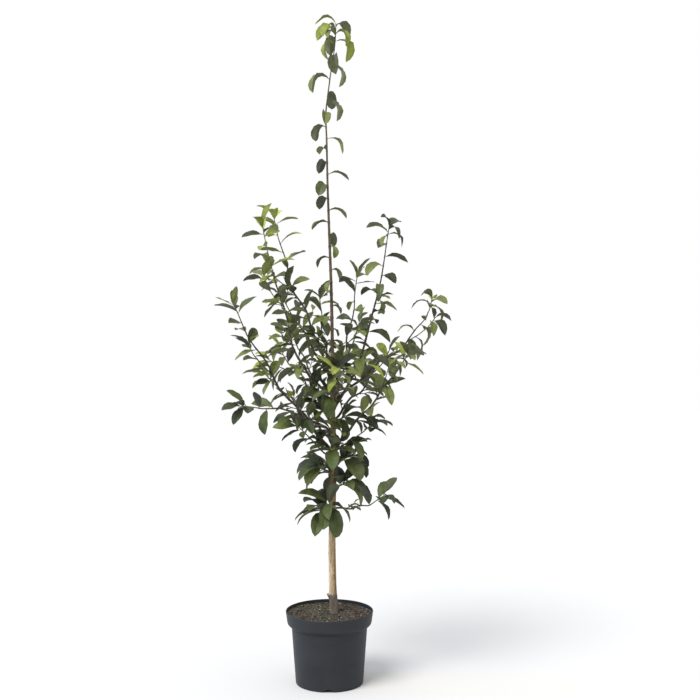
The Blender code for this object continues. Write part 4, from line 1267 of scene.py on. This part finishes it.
# Shares of the tints by the part of the tree that a leaf grows on. The darker shares of the spurs and of the low,
# shaded and right-hand shoots are painted shade; the lighter shares of the lit shoots are painted light; the light
# shares of the leader's tuft are partly the young leaves' own colour and partly painted light shining through them.
TINT_SHARES = {
    "spur": (0.34, 0.60, 0.06, 0.0, 0.0),
    "low": (0.60, 0.36, 0.04, 0.0, 0.0),
    "shade": (0.48, 0.38, 0.13, 0.01, 0.0),
    "right": (0.18, 0.36, 0.34, 0.09, 0.03),
    "inner": (0.05, 0.36, 0.46, 0.13, 0.0),
    "outer": (0.08, 0.26, 0.44, 0.22, 0.0),
    "lit": (0.0, 0.06, 0.34, 0.53, 0.07),
    "tip": (0.06, 0.18, 0.42, 0.34, 0.0),
    "young_tip": (0.06, 0.10, 0.24, 0.34, 0.26),
    "leader": (0.12, 0.28, 0.42, 0.18, 0.0),
    "leader_tip": (0.0, 0.0, 0.18, 0.60, 0.22),
}
# Shoots whose leaves get darker tints as painted shade (low, dark, right-hand) and lighter tints as painted light
# (lit).
LOW_SHOOTS = ("foliage_right_low", "foliage_right_lower", "foliage_left_low", "foliage_left_lower")
DARK_SHOOTS = ("foliage_right_tall", "foliage_right_inner_back", "foliage_right_inner_front")
LIT_SHOOTS = ("foliage_left_tall_front", "foliage_left_tall_back")
RIGHT_SHOOTS = ("foliage_right_wide", "foliage_right_front")
# Shares of a shoot past which a leaf counts as on the leader's tuft, at the tip and in the outer part
LEADER_TUFT = 0.93
SHOOT_TIP = 0.985
OUTER_PART = 0.7


def part_of(name, leaf):
    """The part of the tree that a leaf grows on."""
    if name.startswith("foliage_spur"):
        return "spur"
    if name == "foliage_leader":
        return "leader_tip" if leaf.share > LEADER_TUFT else "leader"
    if name in LOW_SHOOTS:
        return "low"
    if name in DARK_SHOOTS:
        return "shade"
    if name in RIGHT_SHOOTS:
        return "right"
    if leaf.share > SHOOT_TIP:
        return "young_tip" if name in LIT_SHOOTS else "tip"
    if leaf.share > OUTER_PART:
        return "lit" if name in LIT_SHOOTS else "outer"
    return "inner"


def leaf_finish(name, colour, roughness, vein_tone, vein_depth):
    """A leaf's skin: blotches, a midrib of another tone and sunken side veins."""
    made = plain_material(name, colour, roughness, 0.25)
    tree = made.node_tree
    where = tree.nodes.new("ShaderNodeUVMap")
    where.uv_map = "blade"
    axes = tree.nodes.new("ShaderNodeSeparateXYZ")
    tree.links.new(where.outputs["UV"], axes.inputs["Vector"])
    across = reckon(made, "ABSOLUTE", reckon(made, "SUBTRACT", axes.outputs["X"], 0.5))
    slanted = reckon(made, "SUBTRACT", axes.outputs["Y"], reckon(made, "MULTIPLY", across, 0.30))
    waves = reckon(made, "SINE", reckon(made, "MULTIPLY", slanted, math.tau * 9.0))
    veins = reckon(made, "POWER", reckon(made, "ABSOLUTE", waves), 0.35)
    rib = reckon(made, "MINIMUM", reckon(made, "MULTIPLY", across, 26.0), 1.0)
    blotches = ramp(made, add_noise(made, 55.0, 4.0), [(0.30, tone(colour, 0.76)), (0.70, tone(colour, 1.24))])
    ribbed = blend_colours(made, "MIX", rib, tone(colour, vein_tone), blotches)
    margin = ramp(made, across, [(0.36, (1.0, 1.0, 1.0, 1.0)), (0.50, (0.70, 0.70, 0.70, 1.0))])
    colour_by(made, blend_colours(made, "MULTIPLY", 1.0, ribbed, margin))
    bump_by(made, reckon(made, "MULTIPLY", veins, rib), vein_depth, 0.7)
    return made


def blade_pattern():
    """A flat leaf, two units wide and long, with an upper and a lower sheet that meet at its edge."""
    bm = bmesh.new()
    bm.loops.layers.uv.new("blade")
    rows = len(BLADE_MARKS) - 1
    bmesh.ops.create_grid(bm, x_segments=BLADE_COLUMNS, y_segments=rows, size=1.0, calc_uvs=True)
    for edge in bm.edges:
        edge.smooth = not all(abs(vert.co.x) < 0.01 for vert in edge.verts)
    for vert in bm.verts:
        vert.co.z = 0.0 if edge_of_blade(vert) else 0.5
    everything = bm.verts[:] + bm.edges[:] + bm.faces[:]
    below = bmesh.ops.duplicate(bm, geom=everything)["geom"]
    low_faces = [item for item in below if isinstance(item, bmesh.types.BMFace)]
    bmesh.ops.reverse_faces(bm, faces=low_faces)
    for item in below:
        if isinstance(item, bmesh.types.BMVert):
            item.co.z = -item.co.z
    for face in bm.faces:
        face.smooth = True
    for face in low_faces:
        face.material_index = 1
    bmesh.ops.remove_doubles(bm, verts=bm.verts, dist=1e-4)
    for end in (-1.0, 1.0):
        row = [vert for vert in bm.verts if abs(vert.co.y - end) < 0.01]
        bmesh.ops.pointmerge(bm, verts=row, merge_co=Vector((0.0, end, 0.0)))
    for edge in bm.edges:
        if len({face.material_index for face in edge.link_faces}) > 1:
            edge.smooth = False
    mesh = bpy.data.meshes.new("blade_pattern")
    bm.to_mesh(mesh)
    bm.free()
    return mesh


def edge_of_blade(vert):
    """Tell whether a corner of the flat leaf lies on its edge."""
    return abs(vert.co.x) > 0.99 or abs(vert.co.y) > 0.99


def blade_width(s, form):
    """Half width of a leaf at a share of its length, beside its greatest half width."""
    if s <= STALK_END:
        return 0.0
    widest = form.rise / (form.rise + form.fall)
    t = (s - STALK_END) / (1.0 - STALK_END)
    return (t / widest) ** form.rise * ((1.0 - t) / (1.0 - widest)) ** form.fall


def midrib_at(leaf, s):
    """The point, direction and side direction at a share of a leaf's length."""
    step = s * MIDRIB_STEPS
    low = min(MIDRIB_STEPS - 1, int(step))
    first, second = leaf.midrib[low], leaf.midrib[low + 1]
    share = step - low
    return [before.lerp(after, share) for before, after in zip(first, second)]


def bend_blade(corners, pattern, leaf, form, dice, settings):
    """Bend a copy of the flat leaf along its midrib, with its fold, curl, waves and keel."""
    phase = dice.uniform(0, math.tau)
    curl = dice.uniform(*CURL)
    waves = dice.uniform(9.0, 15.0)
    stations = [midrib_at(leaf, s) for s in BLADE_MARKS]
    for corner, (column, row, sheet) in zip(corners, pattern):
        point, heading, side = stations[row]
        s = BLADE_MARKS[row]
        normal = side.cross(heading).normalized()
        half = max(leaf.half_width * form.width * blade_width(s, form), STALK_WIDTH)
        reach = abs(column)
        fold = leaf.fold * form.fold * settings.fold
        lift = half * math.sin(fold) * (reach - curl * reach**2)
        wave = math.sin(phase + s * waves + (column > 0) * 1.9) * math.sin(math.pi * s)
        lift += settings.ripple * reach**2 * wave * (s > STALK_END)
        lift += sheet * settings.thickness
        if sheet < 0 and reach < 0.1:
            lift -= settings.keel * (1.0 - s)
        corner.co = point + side * (column * half * math.cos(fold * 0.7)) + normal * lift


class MEDLAR_OT_leaves(bpy.types.Operator):
    """Grow the leaves, folded along their midribs and arching over, in groups of one tint"""

    bl_idname = "medlar.leaves"
    bl_label = "Leaves"

    def execute(self, context):
        settings = context.scene.medlar_leaf
        leaves = grown_leaves()
        leaves += small_leaves(leaves)
        flat = blade_pattern()
        rows = len(BLADE_MARKS) - 1
        pattern = []
        for vertex in flat.vertices:
            pattern.append((vertex.co.x, round((vertex.co.y + 1.0) / 2.0 * rows), vertex.co.z))
        groups = {tint: [] for tint in TINT_ORDER}
        for index, (name, leaf) in enumerate(leaves):
            dice = random.Random("blade %d" % index)
            part = part_of(name, leaf)
            tint = dice.choices(TINT_ORDER, TINT_SHARES[part])[0]
            groups[tint].append((leaf, BLADE_FORMS.get(part, BLADE_FORMS["shoot"]), dice))
        nodes = [mass.name for mass in masses()]
        for tint, group in groups.items():
            bm = bmesh.new()
            for _ in group:
                bm.from_mesh(flat)
            bm.verts.ensure_lookup_table()
            size = len(pattern)
            for index, (leaf, form, dice) in enumerate(group):
                corners = bm.verts[index * size:(index + 1) * size]
                bend_blade(corners, pattern, leaf, form, dice, settings)
            above, below, roughness = LEAF_TINTS[tint]
            skins = [
                leaf_finish("leaf_%s_above" % tint, above, roughness, 1.5, 0.0006),
                leaf_finish("leaf_%s_below" % tint, below, roughness + 0.15, 1.35, 0.0005),
            ]
            finish_piece(bm, "leaves_" + tint, skins, nodes if tint == "middle" else ())
        return {"FINISHED"}


def add_sun(name, heading, height, strength, softness, colour):
    """A soft lamp far away, at a heading and an angle over the horizon."""
    data = bpy.data.lights.new(name, "SUN")
    data.energy = strength
    data.angle = math.radians(softness)
    data.color = colour
    lamp = bpy.data.objects.new(name, data)
    lamp.rotation_euler = compass(heading, height).to_track_quat("Z", "Y").to_euler()
    bpy.context.scene.collection.objects.link(lamp)


CAMERA_PLACE = (0.0657, -4.0, 1.30)
CAMERA_TILT = 90 - 3.30
CAMERA_LENS = 65.06
FLOOR_TONE = (0.58, 0.58, 0.58, 1.0)  # pale under the lamps, and as bright as the sky


class MEDLAR_OT_stage(bpy.types.Operator):
    """Lay the pale floor and set the lamps, the sky and the camera"""

    bl_idname = "medlar.stage"
    bl_label = "Stage"

    def execute(self, context):
        settings = context.scene.medlar_stage
        bm = bmesh.new()
        bmesh.ops.create_grid(bm, x_segments=1, y_segments=1, size=settings.floor_size / 2)
        mesh = bpy.data.meshes.new("floor")
        bm.to_mesh(mesh)
        bm.free()
        floor = bpy.data.objects.new("floor", mesh)
        context.scene.collection.objects.link(floor)
        mesh.materials.append(plain_material("floor", FLOOR_TONE, 1.0, 0.0))
        world = bpy.data.worlds.new("sky")
        world.use_nodes = True
        sky = world.node_tree.nodes["Background"]
        sky.inputs["Color"].default_value = (1.0, 1.0, 1.0, 1.0)
        sky.inputs["Strength"].default_value = settings.sky
        context.scene.world = world
        context.scene.view_settings.view_transform = "Standard"
        add_sun("lamp_main", -130, 52, settings.key, 30, (1.0, 0.985, 0.95))
        add_sun("lamp_edge", 176, 16, settings.key * 0.28, 12, (0.16, 0.42, 1.0))
        data = bpy.data.cameras.new("camera")
        data.lens = CAMERA_LENS
        data.sensor_width = 36.0
        camera = bpy.data.objects.new("camera", data)
        camera.location = CAMERA_PLACE
        camera.rotation_euler = (math.radians(CAMERA_TILT), 0.0, 0.0)
        context.scene.collection.objects.link(camera)
        context.scene.camera = camera
        return {"FINISHED"}


class MEDLAR_PT_panel(bpy.types.Panel):
    """Buttons for every piece of the potted tree"""

    bl_idname = "MEDLAR_PT_panel"
    bl_label = "Potted Medlar"
    bl_space_type = "VIEW_3D"
    bl_region_type = "UI"
    bl_category = "Medlar"

    def draw(self, context):
        for operator in OPERATORS:
            self.layout.operator(operator.bl_idname)


OPERATORS = (
    MEDLAR_OT_pot, MEDLAR_OT_soil, MEDLAR_OT_chips, MEDLAR_OT_bark, MEDLAR_OT_boughs, MEDLAR_OT_twigs,
    MEDLAR_OT_leaves, MEDLAR_OT_stage,
)


def register():
    """Make the settings, operators and panel known."""
    for group in SETTINGS.values():
        bpy.utils.register_class(group)
    for name, group in SETTINGS.items():
        setattr(bpy.types.Scene, name, PointerProperty(type=group))
    for operator in OPERATORS:
        bpy.utils.register_class(operator)
    bpy.utils.register_class(MEDLAR_PT_panel)


def unregister():
    """Take the settings, operators and panel away again."""
    bpy.utils.unregister_class(MEDLAR_PT_panel)
    for operator in reversed(OPERATORS):
        bpy.utils.unregister_class(operator)
    for name in SETTINGS:
        delattr(bpy.types.Scene, name)
    for group in SETTINGS.values():
        bpy.utils.unregister_class(group)


def main():
    """Build every piece in order."""
    register()
    bpy.ops.medlar.pot()
    bpy.ops.medlar.soil()
    bpy.ops.medlar.chips()
    bpy.ops.medlar.bark()
    bpy.ops.medlar.boughs()
    bpy.ops.medlar.twigs()
    bpy.ops.medlar.leaves()
    bpy.ops.medlar.stage()


if __name__ == "__main__":
    main()
